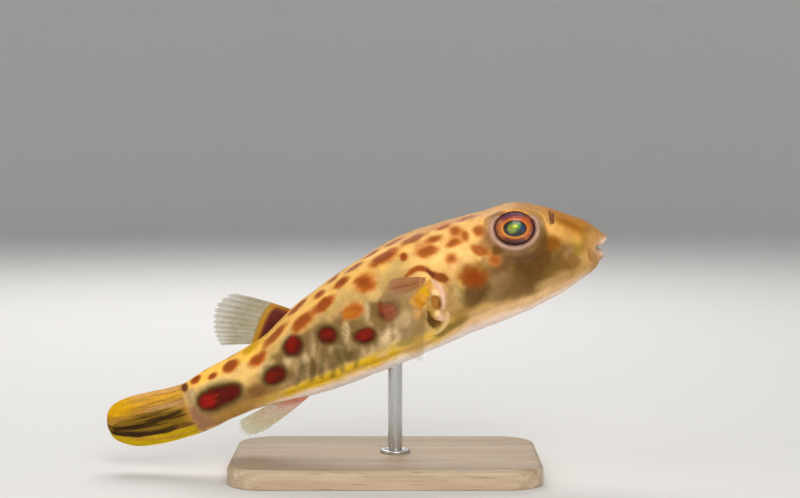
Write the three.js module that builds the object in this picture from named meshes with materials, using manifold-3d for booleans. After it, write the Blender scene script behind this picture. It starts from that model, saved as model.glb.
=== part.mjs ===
// A freshwater pufferfish at life size, swimming nose-up, on a plain display stand.
// Millimetres. +X points to the snout, +Y to the fish's left and +Z up.
// The origin is on the floor, under the middle of the whole model.
import * as THREE from "three";
import { mergeVertices } from "three/addons/utils/BufferGeometryUtils.js";
import Module from "manifold-3d";

// ---- Driving dimensions ----
const CUT = 0.3; // the thin cut between neighbouring pieces
const AROUND = 32; // points round one section of the body
const SWAY = 3.2; // how far the tail tip swings to the fish's left
const SWAY_START = 10; // the station where that swing begins

// The body as sections square to its midline, from the snout tip to the tail's hind edge.
// x and z place the midline. up, down and wide are its reach above, below and to each side.
// square fills out the section's corners, as on a puffer's broad head: 0 is an ellipse.
const STATIONS = [
  // x,     z,   up, down, wide, square
  [51.85, 47.0, 0.0, 0.0, 0.0, 0.0], // the snout tip
  [51.4, 47.0, 2.1, 1.8, 2.3, 0.03],
  [50.2, 46.9, 3.9, 3.1, 3.9, 0.05],
  [48.2, 46.7, 5.6, 4.8, 5.3, 0.06],
  [45.0, 46.4, 7.4, 6.6, 6.7, 0.05],
  [40.5, 45.7, 9.7, 8.6, 8.1, 0.07], // the nostrils
  [35.0, 44.7, 11.8, 10.2, 9.0, 0.09], // the front of the eyes
  [29.0, 43.2, 11.8, 11.1, 9.5, 0.09], // the back of the eyes
  [22.0, 41.0, 12.1, 11.7, 10.2, 0.07],
  [14.5, 38.3, 12.2, 12.1, 10.7, 0.05], // the gill openings
  [7.0, 34.9, 11.6, 12.0, 10.7, 0.04],
  [-1.0, 30.7, 10.7, 11.2, 9.9, 0.04],
  [-9.0, 26.7, 8.9, 10.3, 8.4, 0.03],
  [-16.0, 22.8, 6.7, 8.3, 6.6, 0.02], // the dorsal and anal fins
  [-22.0, 20.0, 5.8, 6.8, 5.2, 0.0],
  [-28.0, 17.2, 5.3, 6.4, 4.0, 0.0],
  [-33.0, 14.8, 4.7, 6.4, 2.9, 0.0], // the root of the tail fin
  [-37.0, 13.3, 4.6, 6.5, 1.3, 0.0],
  [-42.0, 11.8, 4.9, 6.4, 0.7, 0.0],
  [-46.8, 10.7, 4.8, 5.8, 0.5, 0.0],
  [-50.4, 10.1, 3.8, 4.3, 0.4, 0.0],
  [-52.0, 9.9, 2.3, 2.5, 0.35, 0.0],
  [-52.5, 9.8, 0.0, 0.0, 0.0, 0.0], // the hind edge
];
const NECK = 8.85; // where the head meets the trunk, through the gill openings
const VENT = 13.75; // where the trunk meets the tail stem, behind the dorsal and anal fins
const TAIL_ROOT = 16.2; // where the tail stem meets the tail fin
const LAST = STATIONS.length - 1;

const EYE = { x: 32.3, y: 6.3, z: 51.4, long: 4.7, deep: 3.6, tall: 4.1 };
const NOSTRIL = { x: 39.9, z: 52.3, sunk: 0.5, long: 3.2, root: 0.5, tip: 0.35, lean: 12 };
const MOUTH = { corner: 48.4, height: 47, gape: 0.9, half: 3.4 };
const JAW_HINGE = { x: 43.5, z: 44.5 }; // where the jaw's cut turns down
const JAW_HEEL = { x: 40.0, z: 33.5 }; // where that cut leaves the chin
const TOOTH = { long: 1.1, tall: 0.55, half: 1.5, from: 49.6 };

const FIN = { thick: 0.6, root: 1.8, fleshy: 0.35 }; // a fin is thick over this share of its rays
const SIDE_FIN = { top: { x: 13.9, z: 41.3 }, foot: { x: 14.1, z: 33.1 }, sunk: 0.7 };
const BASE = { x: 6, long: 64, deep: 42, tall: 4, corner: 8, bevel: 0.8 };
const ROD = { x: 8, radius: 1.5 };

const COLOURS = {
  golden: 0xd99a45,
  pale: 0xcfae72,
  tail: 0xb58a1c,
  fin: 0xb8a468,
  eye: 0x8f4a12,
  nostril: 0x905110,
  wood: 0x9e8566,
  steel: 0xb9bcc0,
};

const wasm = await Module();
wasm.setup();

// ---- Small helpers ----
const lerp = THREE.MathUtils.lerp;
const degrees = THREE.MathUtils.degToRad;

// A curve through rows of numbers, each row one step of t further on (Catmull-Rom). Beyond each end
// the rows are mirrored, with the reaches negative, so that the body closes in a round tip.
function section(t) {
  const mirrored = (row) => row.map((value, k) => (k < 2 ? value : -value));
  const row = (i) =>
    i < 0 ? mirrored(STATIONS[-i]) : i > LAST ? mirrored(STATIONS[2 * LAST - i]) : STATIONS[i];
  const i = Math.min(Math.max(Math.floor(t), 0), LAST - 1);
  const f = t - i;
  const [a, b, c, d] = [row(i - 1), row(i), row(i + 1), row(i + 2)];
  const [x, z, up, down, wide, square] = b.map(
    (value, k) =>
      value +
      0.5 * f * (c[k] - a[k] + f * (2 * a[k] - 5 * value + 4 * c[k] - d[k]
        + f * (3 * (value - c[k]) + d[k] - a[k]))),
  );
  return { x, z, up, down, wide, square };
}

// The midline's point at t, with the tail's sideways swing.
function midline(t) {
  const { x, z } = section(t);
  const behind = Math.max(0, (t - SWAY_START) / (LAST - SWAY_START));
  return new THREE.Vector3(x, SWAY * behind * behind, z);
}

// The directions of a section: ahead along the midline, left of it and up from it.
function frameAt(t) {
  const reach = 0.4;
  const ahead = midline(Math.max(t - reach, 0))
    .sub(midline(Math.min(t + reach, LAST)))
    .normalize();
  const left = new THREE.Vector3(-ahead.y, ahead.x, 0).normalize();
  const up = new THREE.Vector3().crossVectors(ahead, left);
  return { left, up };
}

// A point on the body's surface. angle runs round the section from the fish's left, over its back.
function onBody(t, angle, grow = 0) {
  const s = section(t);
  const { left, up } = frameAt(t);
  const c = Math.cos(angle);
  const n = Math.sin(angle);
  const round = 1 + s.square * Math.sin(2 * angle) ** 2;
  const rise = (n > 0 ? s.up : s.down) + grow;
  return midline(t)
    .addScaledVector(left, (s.wide + grow) * c * round)
    .addScaledVector(up, rise * n * round);
}

// The point of a flank that lies at x and z in the side view. side is 1 for the fish's left.
function onFlank(x, z, side, grow = 0) {
  const place = new THREE.Vector3(x, 0, z);
  let [low, high] = [0, LAST];
  for (let i = 0; i < 40; i++) {
    const t = (low + high) / 2;
    const { left, up } = frameAt(t);
    const ahead = new THREE.Vector3().crossVectors(left, up);
    if (place.clone().sub(midline(t)).dot(ahead) > 0) high = t;
    else low = t;
  }
  const { up, down } = section(low);
  const height = place.sub(midline(low)).dot(frameAt(low).up);
  const angle = Math.asin(THREE.MathUtils.clamp(height / (height > 0 ? up : down), -1, 1));
  return onBody(low, side > 0 ? angle : Math.PI - angle, grow);
}

// A closed surface over rings of points. A ring of one point is a pole; other ends get a flat cap.
function overRings(rings) {
  const points = [];
  const faces = [];
  const starts = rings.map((ring) => points.push(...ring) - ring.length);
  for (let i = 0; i + 1 < rings.length; i++) {
    const n = Math.max(rings[i].length, rings[i + 1].length);
    const at = (ring, j) => starts[ring] + (rings[ring].length === 1 ? 0 : j % n);
    for (let j = 0; j < n; j++) {
      if (rings[i].length > 1) faces.push([at(i, j), at(i, j + 1), at(i + 1, j)]);
      if (rings[i + 1].length > 1) faces.push([at(i, j + 1), at(i + 1, j + 1), at(i + 1, j)]);
    }
  }
  for (const [end, flip] of [
    [0, true],
    [rings.length - 1, false],
  ]) {
    const ring = rings[end];
    if (ring.length === 1) continue;
    const middle = new THREE.Vector3();
    ring.forEach((p) => middle.addScaledVector(p, 1 / ring.length));
    const hub = points.push(middle) - 1;
    ring.forEach((_, j) => {
      const a = starts[end] + j;
      const b = starts[end] + ((j + 1) % ring.length);
      faces.push(flip ? [b, a, hub] : [a, b, hub]);
    });
  }
  return indexed(points, faces);
}

function indexed(points, faces) {
  const geometry = new THREE.BufferGeometry().setFromPoints(points);
  geometry.setIndex(faces.flat());
  return geometry;
}

// Hands a closed geometry to manifold-3d for cutting and joining, and takes the result back.
function solidOf(geometry) {
  const bare = geometry.clone();
  bare.deleteAttribute("normal");
  bare.deleteAttribute("uv");
  const merged = mergeVertices(bare, 1e-4);
  return new wasm.Manifold(
    new wasm.Mesh({
      numProp: 3,
      vertProperties: new Float32Array(merged.attributes.position.array),
      triVerts: new Uint32Array(merged.index.array),
    }),
  );
}

function geometryOf(solid) {
  const mesh = solid.getMesh();
  const geometry = new THREE.BufferGeometry();
  geometry.setAttribute("position", new THREE.BufferAttribute(new Float32Array(mesh.vertProperties), 3));
  geometry.setIndex(new THREE.BufferAttribute(new Uint32Array(mesh.triVerts), 1));
  return geometry;
}

// ---- The body, one length at a time ----
function ringAt(t, grow = 0) {
  if (t <= 0 || t >= LAST) return [midline(Math.min(Math.max(t, 0), LAST))];
  return Array.from({ length: AROUND }, (_, j) => onBody(t, (-2 * Math.PI * j) / AROUND, grow));
}

function bodyLength(from, to, rings, grow = 0) {
  const steps = Array.from({ length: rings + 1 }, (_, i) => lerp(from, to, i / rings));
  return overRings(steps.map((t) => ringAt(t, grow)));
}

// Half the thin cut, as a step of t, for a station where the midline advances this far per step.
function halfCut(t) {
  return CUT / 2 / midline(t - 0.5).distanceTo(midline(t + 0.5));
}

// The body a little swollen, which keeps whatever grows out of it one thin cut away.
const swollenBody = solidOf(bodyLength(0.4, LAST - 0.4, 50, CUT));

// ---- Head, jaw and eyes ----
function eyeball(side, grow = 0) {
  const geometry = new THREE.SphereGeometry(1, 20, 12);
  geometry.scale(EYE.long + grow, EYE.deep + grow, EYE.tall + grow);
  geometry.translate(EYE.x, side * EYE.y, EYE.z);
  return geometry;
}

// A prism across the whole head, from an outline in the side view.
function acrossHead(outline) {
  const shape = new THREE.Shape(outline.map(([x, z]) => new THREE.Vector2(x, z)));
  const width = 60;
  const prism = new THREE.ExtrudeGeometry(shape, { depth: width, bevelEnabled: false });
  prism.rotateX(Math.PI / 2);
  prism.translate(0, width / 2, 0);
  return solidOf(prism);
}

function toothPlate(top) {
  const plate = new THREE.BoxGeometry(TOOTH.long, 2 * TOOTH.half, TOOTH.tall + 1);
  const middle = MOUTH.height + (top ? 1 : -1) * (MOUTH.gape / 2 + 0.35);
  plate.translate(TOOTH.from + TOOTH.long / 2, 0, middle);
  return solidOf(plate);
}

// The head is cut into its upper part and the lower jaw, which the open mouth parts at the front.
function headPieces() {
  let whole = solidOf(bodyLength(0, NECK - halfCut(NECK), 28));
  for (const side of [1, -1]) whole = whole.subtract(solidOf(eyeball(side, CUT)));
  const far = 60;
  const slit = acrossHead([
    [MOUTH.corner, MOUTH.height],
    [far, MOUTH.height - MOUTH.gape],
    [far, MOUTH.height + MOUTH.gape],
  ]);
  const jawRegion = (grow) =>
    acrossHead([
      [JAW_HEEL.x - grow, JAW_HEEL.z],
      [far, JAW_HEEL.z],
      [far, MOUTH.height + grow],
      [MOUTH.corner, MOUTH.height + grow],
      [JAW_HINGE.x - grow, JAW_HINGE.z + grow],
    ]);
  const upper = whole.subtract(jawRegion(CUT / 2)).subtract(slit);
  const lower = whole.intersect(jawRegion(-CUT / 2)).subtract(slit);
  const core = solidOf(bodyLength(0.2, 4, 8, -0.4));
  return {
    head: upper.add(toothPlate(true).intersect(core)),
    lower_jaw: lower.add(toothPlate(false).intersect(core)),
  };
}

function nostril(side) {
  const root = onFlank(NOSTRIL.x, NOSTRIL.z, side, -NOSTRIL.sunk);
  const tube = new THREE.CylinderGeometry(NOSTRIL.tip, NOSTRIL.root, NOSTRIL.long, 12);
  tube.translate(0, NOSTRIL.long / 2, 0);
  tube.rotateX(Math.PI / 2 - side * degrees(NOSTRIL.lean));
  tube.translate(root.x, root.y, root.z);
  return solidOf(tube).subtract(swollenBody);
}

// ---- Fins ----
// A thin slab with a point for each u, from its front edge to its hind one, and v, from root to tip.
// It lies to both sides of base(u) + v * ray(u) + v * v * bend(u), and is thick and fleshy at its root.
function finSlab({ base, ray, bend, across = 11, along = 8 }) {
  const middle = (u, v) =>
    base(u)
      .clone()
      .addScaledVector(ray(u), v)
      .addScaledVector(bend(u), v * v);
  const thickness = (v) => lerp(FIN.thick, FIN.root, Math.max(0, 1 - v / FIN.fleshy) ** 2);
  const side = (sign) => (u, v) => {
    const h = 0.01;
    const du = middle(Math.min(u + h, 1), v).sub(middle(Math.max(u - h, 0), v));
    const dv = middle(u, Math.min(v + h, 1)).sub(middle(u, Math.max(v - h, 0)));
    return middle(u, v).addScaledVector(du.cross(dv).normalize(), (sign * thickness(v)) / 2);
  };
  const points = [];
  const index = (face, i, j) => (face * (across + 1) + i) * (along + 1) + j;
  for (const sign of [1, -1])
    for (let i = 0; i <= across; i++)
      for (let j = 0; j <= along; j++) points.push(side(sign)(i / across, j / along));
  const faces = [];
  const quad = (a, b, c, d) => faces.push([a, b, c], [a, c, d]);
  for (let i = 0; i < across; i++)
    for (let j = 0; j < along; j++) {
      quad(index(0, i, j), index(0, i + 1, j), index(0, i + 1, j + 1), index(0, i, j + 1));
      quad(index(1, i, j), index(1, i, j + 1), index(1, i + 1, j + 1), index(1, i + 1, j));
    }
  for (let i = 0; i < across; i++) {
    quad(index(0, i + 1, 0), index(0, i, 0), index(1, i, 0), index(1, i + 1, 0));
    quad(index(0, i, along), index(0, i + 1, along), index(1, i + 1, along), index(1, i, along));
  }
  for (let j = 0; j < along; j++) {
    quad(index(0, 0, j), index(0, 0, j + 1), index(1, 0, j + 1), index(1, 0, j));
    quad(index(0, across, j + 1), index(0, across, j), index(1, across, j), index(1, across, j + 1));
  }
  const solid = solidOf(indexed(points, faces));
  return solid.volume() < 0 ? solidOf(indexed(points, faces.map(([a, b, c]) => [a, c, b]))) : solid;
}

// A direction in the side view: 0 degrees is ahead, 90 is up and 180 is back towards the tail.
function heading(angle, out = 0) {
  return new THREE.Vector3(Math.cos(degrees(angle)), out, Math.sin(degrees(angle))).normalize();
}

// The share of its full reach that a fin's ray has: the front corner is rounded, the back ones short.
function lobe(u, shorten) {
  const corner = Math.min(u / 0.3, 1);
  return 0.84 + 0.16 * Math.sin((Math.PI / 2) * corner) - shorten * u ** 1.8;
}

// The dorsal and anal fins fan out along the back or the belly. Their roots are sunk in the flesh.
function midlineFin({ from, to, above, first, last, reach, shorten, curl }) {
  const sunk = 1;
  const angle = above ? Math.PI / 2 : -Math.PI / 2;
  return finSlab({
    base: (u) => onBody(lerp(from, to, u), angle, -sunk),
    ray: (u) => heading(lerp(first, last, u)).multiplyScalar(reach * lobe(u, shorten) + sunk),
    bend: (u) => heading(lerp(first, last, u) + curl).multiplyScalar(2.2 * (1 - 0.6 * u)),
  }).subtract(swollenBody);
}

// A side fin fans out from an upright root behind the gill opening.
function sideFin(side, { first, last, out, reach }) {
  const { top, foot, sunk } = SIDE_FIN;
  return finSlab({
    base: (u) => onFlank(lerp(top.x, foot.x, u), lerp(top.z, foot.z, u), side, -sunk),
    ray: (u) => {
      const span = 0.84 + 0.16 * Math.sin(Math.PI * (0.12 + 0.76 * u));
      return heading(lerp(first, last, u), side * out).multiplyScalar(reach * span);
    },
    bend: (u) => new THREE.Vector3(-0.4, side * -1.6, -0.4 * u),
    across: 13,
  }).subtract(swollenBody);
}

// ---- Stand ----
function standBase() {
  const { long, deep, tall, corner, bevel } = BASE;
  const [a, b, r] = [long / 2 - bevel, deep / 2 - bevel, corner - bevel];
  const plan = new THREE.Shape();
  plan.absarc(a - r, b - r, r, 0, Math.PI / 2);
  plan.absarc(-a + r, b - r, r, Math.PI / 2, Math.PI);
  plan.absarc(-a + r, -b + r, r, Math.PI, 1.5 * Math.PI);
  plan.absarc(a - r, -b + r, r, 1.5 * Math.PI, 2 * Math.PI);
  const plate = new THREE.ExtrudeGeometry(plan, {
    depth: tall - 2 * bevel,
    bevelThickness: bevel,
    bevelSize: bevel,
    bevelSegments: 2,
    curveSegments: 7,
  });
  plate.translate(BASE.x, 0, bevel);
  return plate;
}

function standRod() {
  const height = 40;
  const rod = new THREE.CylinderGeometry(ROD.radius, ROD.radius, height, 20);
  rod.rotateX(Math.PI / 2);
  rod.translate(ROD.x, 0, BASE.tall + height / 2);
  const pieces = solidOf(rod).subtract(swollenBody).decompose();
  return pieces.sort((a, b) => a.boundingBox().min[2] - b.boundingBox().min[2])[0];
}

// ---- The model ----
const fish = new THREE.Group();

function addPiece(name, geometry, colour, roughness = 0.45, metalness = 0) {
  const material = new THREE.MeshStandardMaterial({ color: colour, roughness, metalness });
  const mesh = new THREE.Mesh(geometry, material);
  mesh.name = name;
  fish.add(mesh);
}

const { head, lower_jaw: lowerJaw } = headPieces();
addPiece("head", geometryOf(head), COLOURS.golden);
addPiece("lower_jaw", geometryOf(lowerJaw), COLOURS.pale);
addPiece("trunk", bodyLength(NECK + halfCut(NECK), VENT - halfCut(VENT), 18), COLOURS.golden);
addPiece("tail_stem", bodyLength(VENT + halfCut(VENT), TAIL_ROOT - halfCut(TAIL_ROOT), 10), COLOURS.golden);
addPiece("caudal_fin", bodyLength(TAIL_ROOT + halfCut(TAIL_ROOT), LAST, 15), COLOURS.tail);

for (const [name, side] of [
  ["left", 1],
  ["right", -1],
]) {
  addPiece(`eye_${name}`, eyeball(side), COLOURS.eye, 0.1);
  addPiece(`nostril_${name}`, geometryOf(nostril(side)), COLOURS.nostril);
}

const dorsal = midlineFin({
  from: 12.0,
  to: 13.3,
  above: true,
  first: 158,
  last: 178,
  reach: 13,
  shorten: 0.5,
  curl: 40,
});
const anal = midlineFin({
  from: 12.45,
  to: 13.45,
  above: false,
  first: 229,
  last: 207,
  reach: 14,
  shorten: 0.45,
  curl: -45,
});
addPiece("dorsal_fin", geometryOf(dorsal), COLOURS.fin, 0.3);
addPiece("anal_fin", geometryOf(anal), COLOURS.fin, 0.3);
addPiece(
  "pectoral_fin_right",
  geometryOf(sideFin(-1, { first: 187, last: 274, out: 0.62, reach: 11.6 })),
  COLOURS.fin,
  0.3,
);
addPiece(
  "pectoral_fin_left",
  geometryOf(sideFin(1, { first: 190, last: 262, out: 0.7, reach: 11.4 })),
  COLOURS.fin,
  0.3,
);

addPiece("stand_base", standBase(), COLOURS.wood, 0.5);
addPiece("stand_rod", geometryOf(standRod()), COLOURS.steel, 0.3, 1);

export default fish;
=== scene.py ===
# %% [markdown]
# # A young freshwater pufferfish on a display stand
#
# This is a life-size model of the kind that a museum shows: a golden puffer with red-ringed spots,
# swimming nose-up, held by one rod. The solid pieces of the model are already made and packed, and they
# fix every size and place. This lesson gives them their looks: one seamless skin, real eyes, see-through
# fins, and a stand of pale ash and steel. We start by loading those solids. Lengths here are millimetres
# until a mesh is written.

# %% Load the packed model
import math

import bpy
import numpy as np
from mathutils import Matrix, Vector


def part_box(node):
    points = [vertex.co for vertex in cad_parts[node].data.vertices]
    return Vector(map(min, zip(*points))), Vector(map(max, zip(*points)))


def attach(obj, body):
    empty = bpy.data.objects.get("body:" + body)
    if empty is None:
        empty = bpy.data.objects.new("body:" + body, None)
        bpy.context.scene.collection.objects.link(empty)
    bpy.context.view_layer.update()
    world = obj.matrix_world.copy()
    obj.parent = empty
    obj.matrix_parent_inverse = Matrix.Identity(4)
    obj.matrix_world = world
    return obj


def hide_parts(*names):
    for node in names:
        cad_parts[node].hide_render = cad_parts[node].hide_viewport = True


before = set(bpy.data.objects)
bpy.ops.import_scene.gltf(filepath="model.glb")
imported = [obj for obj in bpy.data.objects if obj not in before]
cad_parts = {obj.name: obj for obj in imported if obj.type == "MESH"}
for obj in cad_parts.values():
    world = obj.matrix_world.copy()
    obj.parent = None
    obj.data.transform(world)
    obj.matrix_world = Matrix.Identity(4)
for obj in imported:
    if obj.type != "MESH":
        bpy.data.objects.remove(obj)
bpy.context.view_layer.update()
MM = 0.001  # one millimetre in Blender's metres
print("solids:", ", ".join(sorted(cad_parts)))

# %% [markdown]
# ## The body as a row of sections
#
# A fish has no straight edges, so its body could be sculpted by hand or lofted through sections. Sections
# are the better way here, because the solids were made from the same ones and the skin then fits them
# everywhere. Each row below is one section, square to the midline: where the midline is, and how far the
# body reaches above it, below it and to each side. A station is a place along this table: 9 is at the
# gill openings, and 16 is where the tail fin starts.

# %% The sections
SECTIONS = np.array([
    # x, z of the midline, reach up, reach down, half width, squareness
    (51.85, 47.0, 0.0, 0.0, 0.0, 0.0),
    (51.4, 47.0, 2.1, 1.8, 2.3, 0.03),
    (50.2, 46.9, 3.9, 3.1, 3.9, 0.05),
    (48.2, 46.7, 5.6, 4.8, 5.3, 0.06),
    (45.0, 46.4, 7.4, 6.6, 6.7, 0.05),
    (40.5, 45.7, 9.7, 8.6, 8.1, 0.07),
    (35.0, 44.7, 11.8, 10.2, 9.0, 0.09),
    (29.0, 43.2, 11.8, 11.1, 9.5, 0.09),
    (22.0, 41.0, 12.1, 11.7, 10.2, 0.07),
    (14.5, 38.3, 12.2, 12.1, 10.7, 0.05),
    (7.0, 34.9, 11.6, 12.0, 10.7, 0.04),
    (-1.0, 30.7, 10.7, 11.2, 9.9, 0.04),
    (-9.0, 26.7, 8.9, 10.3, 8.4, 0.03),
    (-16.0, 22.8, 6.7, 8.3, 6.6, 0.02),
    (-22.0, 20.0, 5.8, 6.8, 5.2, 0.0),
    (-28.0, 17.2, 5.3, 6.4, 4.0, 0.0),
    (-33.0, 14.8, 4.7, 6.4, 2.9, 0.0),
    (-37.0, 13.3, 4.6, 6.5, 1.3, 0.0),
    (-42.0, 11.8, 4.9, 6.4, 0.7, 0.0),
    (-46.8, 10.7, 4.8, 5.8, 0.5, 0.0),
    (-50.4, 10.1, 3.8, 4.3, 0.4, 0.0),
    (-52.0, 9.9, 2.3, 2.5, 0.35, 0.0),
    (-52.5, 9.8, 0.0, 0.0, 0.0, 0.0),
])
LAST = len(SECTIONS) - 1
SWAY = 3.2  # the tail's tip swings this far to the fish's left
SWAY_START = 10  # the station where the swing begins
LEFT, RIGHT = 1, -1
BOTH = (LEFT, RIGHT)
SIDES = ((LEFT, "left"), (RIGHT, "right"))


def spline(rows, t):
    """Catmull-Rom curve: between rows[i + 1] and rows[i + 2] as t goes from i to i + 1."""
    t = np.asarray(t, float)
    i = np.clip(np.floor(t).astype(int), 0, len(rows) - 4)
    f = (t - i).reshape(t.shape + (1,) * (rows.ndim - 1))
    a, b, c, d = (rows[i + k] for k in range(4))
    return b + 0.5 * f * (c - a + f * (2 * a - 5 * b + 4 * c - d + f * (3 * (b - c) + d - a)))


# Beyond each end the rows are mirrored, with the reaches negative, so the body closes in a round tip.
mirror = np.array([1, 1, -1, -1, -1, -1])
padded_sections = np.vstack([SECTIONS[1] * mirror, SECTIONS, SECTIONS[-2] * mirror])


def midline(t):
    """The middle of the body at station t, with the tail's sideways swing growing as a square."""
    x, z = np.moveaxis(spline(padded_sections, t)[..., :2], -1, 0)
    behind = np.clip((t - SWAY_START) / (LAST - SWAY_START), 0, None)
    return np.stack([x, SWAY * behind**2, z], -1)


def unit(vectors):
    """Vectors scaled to length one."""
    return vectors / np.maximum(np.linalg.norm(vectors, axis=-1, keepdims=True), 1e-9)


def on_body(t, angle, grow=0.0):
    """A point of the body: an oval round the midline, a little squared at its corners. The angle runs from
    the fish's left over its back, in radians. The oval's plane is square to a line that joins two near
    points of the midline."""
    t = np.asarray(t, float)
    ahead = unit(midline(np.clip(t - 0.4, 0, LAST)) - midline(np.clip(t + 0.4, 0, LAST)))
    left = unit(np.stack([-ahead[..., 1], ahead[..., 0], np.zeros(t.shape)], -1))
    above = np.cross(ahead, left)
    _, _, up, down, wide, square = np.moveaxis(spline(padded_sections, t), -1, 0)
    c, s = np.cos(angle), np.sin(angle)
    diagonal = 1 + square * np.sin(2 * angle) ** 2
    out = (wide + grow) * c * diagonal
    rise = (np.where(s > 0, up, down) + grow) * s * diagonal
    return midline(t) + left * out[..., None] + above * rise[..., None]


def flank(t, degrees, side=RIGHT, grow=0.0):
    """A point of one flank: 0 degrees is the middle of the side, 90 the back and -90 the belly."""
    angle = np.radians(np.asarray(degrees, float))
    return on_body(np.asarray(t, float), angle if side == LEFT else math.pi - angle, grow)


print("body from", midline(0.0).round(1), "to", midline(float(LAST)).round(1))

# %% [markdown]
# ## Small tools
#
# Every surface below is a grid of points worked out at once with numpy. These helpers turn a grid into a
# mesh, soften the edge between two regions, and make the gentle irregularity that living things have. The
# irregularity is a sum of plane waves in random directions, which costs little and never repeats.

# %% Helpers for masks, noise and paint


def soft(value, start, end):
    """0 below start, 1 above end, and a smooth step between."""
    x = np.clip((value - start) / (end - start), 0, 1)
    return x * x * (3 - 2 * x)


def window(value, low, high, edge):
    """1 between low and high and 0 outside, with soft edges of that width."""
    return soft(value, low - edge / 2, low + edge / 2) * (1 - soft(value, high - edge / 2, high + edge / 2))


def bump(value, middle, width):
    """A bell: 1 at the middle, falling to a third at that width from it."""
    return np.exp(-(((value - middle) / width) ** 2))


def ripple(points, size, seed, waves=28):
    """Smooth noise between about -1 and 1, with features of that size: plane waves summed."""
    random = np.random.default_rng(seed)
    directions = unit(random.normal(size=(waves, 3)))
    pitch = random.uniform(0.6, 1.5, waves) * 2 * math.pi / (2.2 * size)
    phase = random.uniform(0, 2 * math.pi, waves)
    total = sum(np.sin(points @ (d * p) + f) for d, p, f in zip(directions, pitch, phase))
    return total * math.sqrt(2 / waves) * 0.8


def hue(text):
    """A colour such as #d09c45 as three shares of one, as seen on a screen."""
    return np.array([int(text[k : k + 2], 16) for k in (1, 3, 5)]) / 255


def paint_over(paint, layers):
    """Lays colours over the paint in turn. A mask is how much of its colour covers, point by point."""
    for colour, mask in layers:
        paint += (hue(colour) - paint) * np.clip(mask, 0, 1)[..., None]
    return paint


def painted(grid, ground, layers):
    """A ground colour for each point of a grid of numbers, with layers of other colours over it."""
    return paint_over(np.zeros(grid.shape + (3,)) + hue(ground), layers)


print("a bright puffer yellow is", hue("#d2a204").round(2))

# %% Helpers for meshes


def grid_faces(rows, columns, closed=True):
    """Four-sided faces between neighbouring points of a grid whose columns may close on themselves."""
    i, j = np.meshgrid(np.arange(rows - 1), np.arange(columns if closed else columns - 1), indexing="ij")
    k = (j + 1) % columns
    corners = [i * columns + j, i * columns + k, (i + 1) * columns + k, (i + 1) * columns + j]
    return np.stack(corners, -1).reshape(-1, 4)


def with_ends(grid, ends=None):
    """The points of a grid of rings, or their colours, and then one more for each end: the end ring's mean,
    or the two that are given."""
    ends = [grid[0].mean(0), grid[-1].mean(0)] if ends is None else ends
    return np.vstack([grid.reshape(-1, 3), *ends])


def capped_faces(rows, columns):
    """The faces of a grid of rings, closed by a fan of triangles at the point that each end has."""
    first = np.arange(columns)
    turned = (first + 1) % columns
    last = first + (rows - 1) * columns
    hub = np.full(columns, rows * columns)
    fans = [np.stack([hub, hub, turned, first], -1), np.stack([last, last[turned], hub + 1, hub + 1], -1)]
    return np.vstack([grid_faces(rows, columns), *fans])


def outward(points, faces):
    """The faces, all turned round if together they hold a negative volume."""
    a, b, c, d = (points[faces[:, k]] for k in range(4))
    volume = np.sum(np.cross(b - a, c - a) * a) + np.sum(np.cross(c - a, d - a) * a)
    return faces if volume > 0 else faces[:, ::-1]


def new_object(name, points, faces, material):
    """A smooth mesh object from points in millimetres. A face may hold the same corner twice."""
    mesh = bpy.data.meshes.new(name)
    short = [list(dict.fromkeys(face)) for face in faces.tolist()]
    mesh.from_pydata((points * MM).tolist(), [], [face for face in short if len(face) > 2])
    mesh.polygons.foreach_set("use_smooth", np.ones(len(mesh.polygons), bool))
    mesh.materials.append(material)
    made = bpy.data.objects.new(name, mesh)
    bpy.context.scene.collection.objects.link(made)
    print(name, len(points), "points,", len(mesh.polygons), "faces")
    return made


def new_piece(name, points, faces, material, replaced=()):
    """A piece of the model, with its faces outward: it rides the one body and fills a slot."""
    piece = new_object(name, points, outward(points, faces), material)
    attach(piece, "root")
    if replaced:
        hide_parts(*replaced)
    return piece


def closed_piece(name, grid, material, replaced=(), ends=None):
    """A piece from a grid of rings that is closed at both ends."""
    return new_piece(name, with_ends(grid, ends), capped_faces(*grid.shape[:2]), material, replaced)


def add_unwrap(mesh, uv):
    """Writes a UV map from one place for each point. A face over the seam takes its far corners past 1, and
    then the whole map is made narrower to fit."""
    corner_point = np.empty(len(mesh.loops), int)
    mesh.loops.foreach_get("vertex_index", corner_point)
    corners = np.empty(len(mesh.polygons), int)
    mesh.polygons.foreach_get("loop_total", corners)
    face = np.repeat(np.arange(len(corners)), corners)
    placed = uv[corner_point]
    widest = np.full(len(corners), -1.0)
    np.maximum.at(widest, face, placed[:, 0])
    placed[widest[face] - placed[:, 0] > 0.5, 0] += 1
    placed[:, 0] /= max(placed[:, 0].max(), 1)
    layer = mesh.uv_layers.new(name="OFBake")
    layer.data.foreach_set("uv", placed.astype(np.float32).ravel())


def number_on_points(piece, name, values):
    """Stores one number for each point, for the material to read."""
    attribute = piece.data.attributes.new(name, "FLOAT", "POINT")
    attribute.data.foreach_set("value", np.asarray(values, np.float32).ravel())


def colour_on_points(piece, name, colours):
    """Stores one colour for each point. The colours come in as seen on a screen and are made linear."""
    linear = np.where(colours <= 0.04045, colours / 12.92, ((np.maximum(colours, 0) + 0.055) / 1.055) ** 2.4)
    rgba = np.concatenate([linear, np.ones((len(linear), 1))], 1)
    attribute = piece.data.attributes.new(name, "FLOAT_COLOR", "POINT")
    attribute.data.foreach_set("color", rgba.astype(np.float32).ravel())


print("a closed tube of 3 rings of 4 points has", len(capped_faces(3, 4)), "faces")

# %% [markdown]
# ## The camera, light and floor
#
# The fish is seen from its right side, from a little above, through a long lens that keeps its
# proportions. Big soft lamps overhead and in front give the even light of a light tent, and the pale
# floor curves up all round into the wall, so no horizon cuts behind the model from any side.

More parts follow.
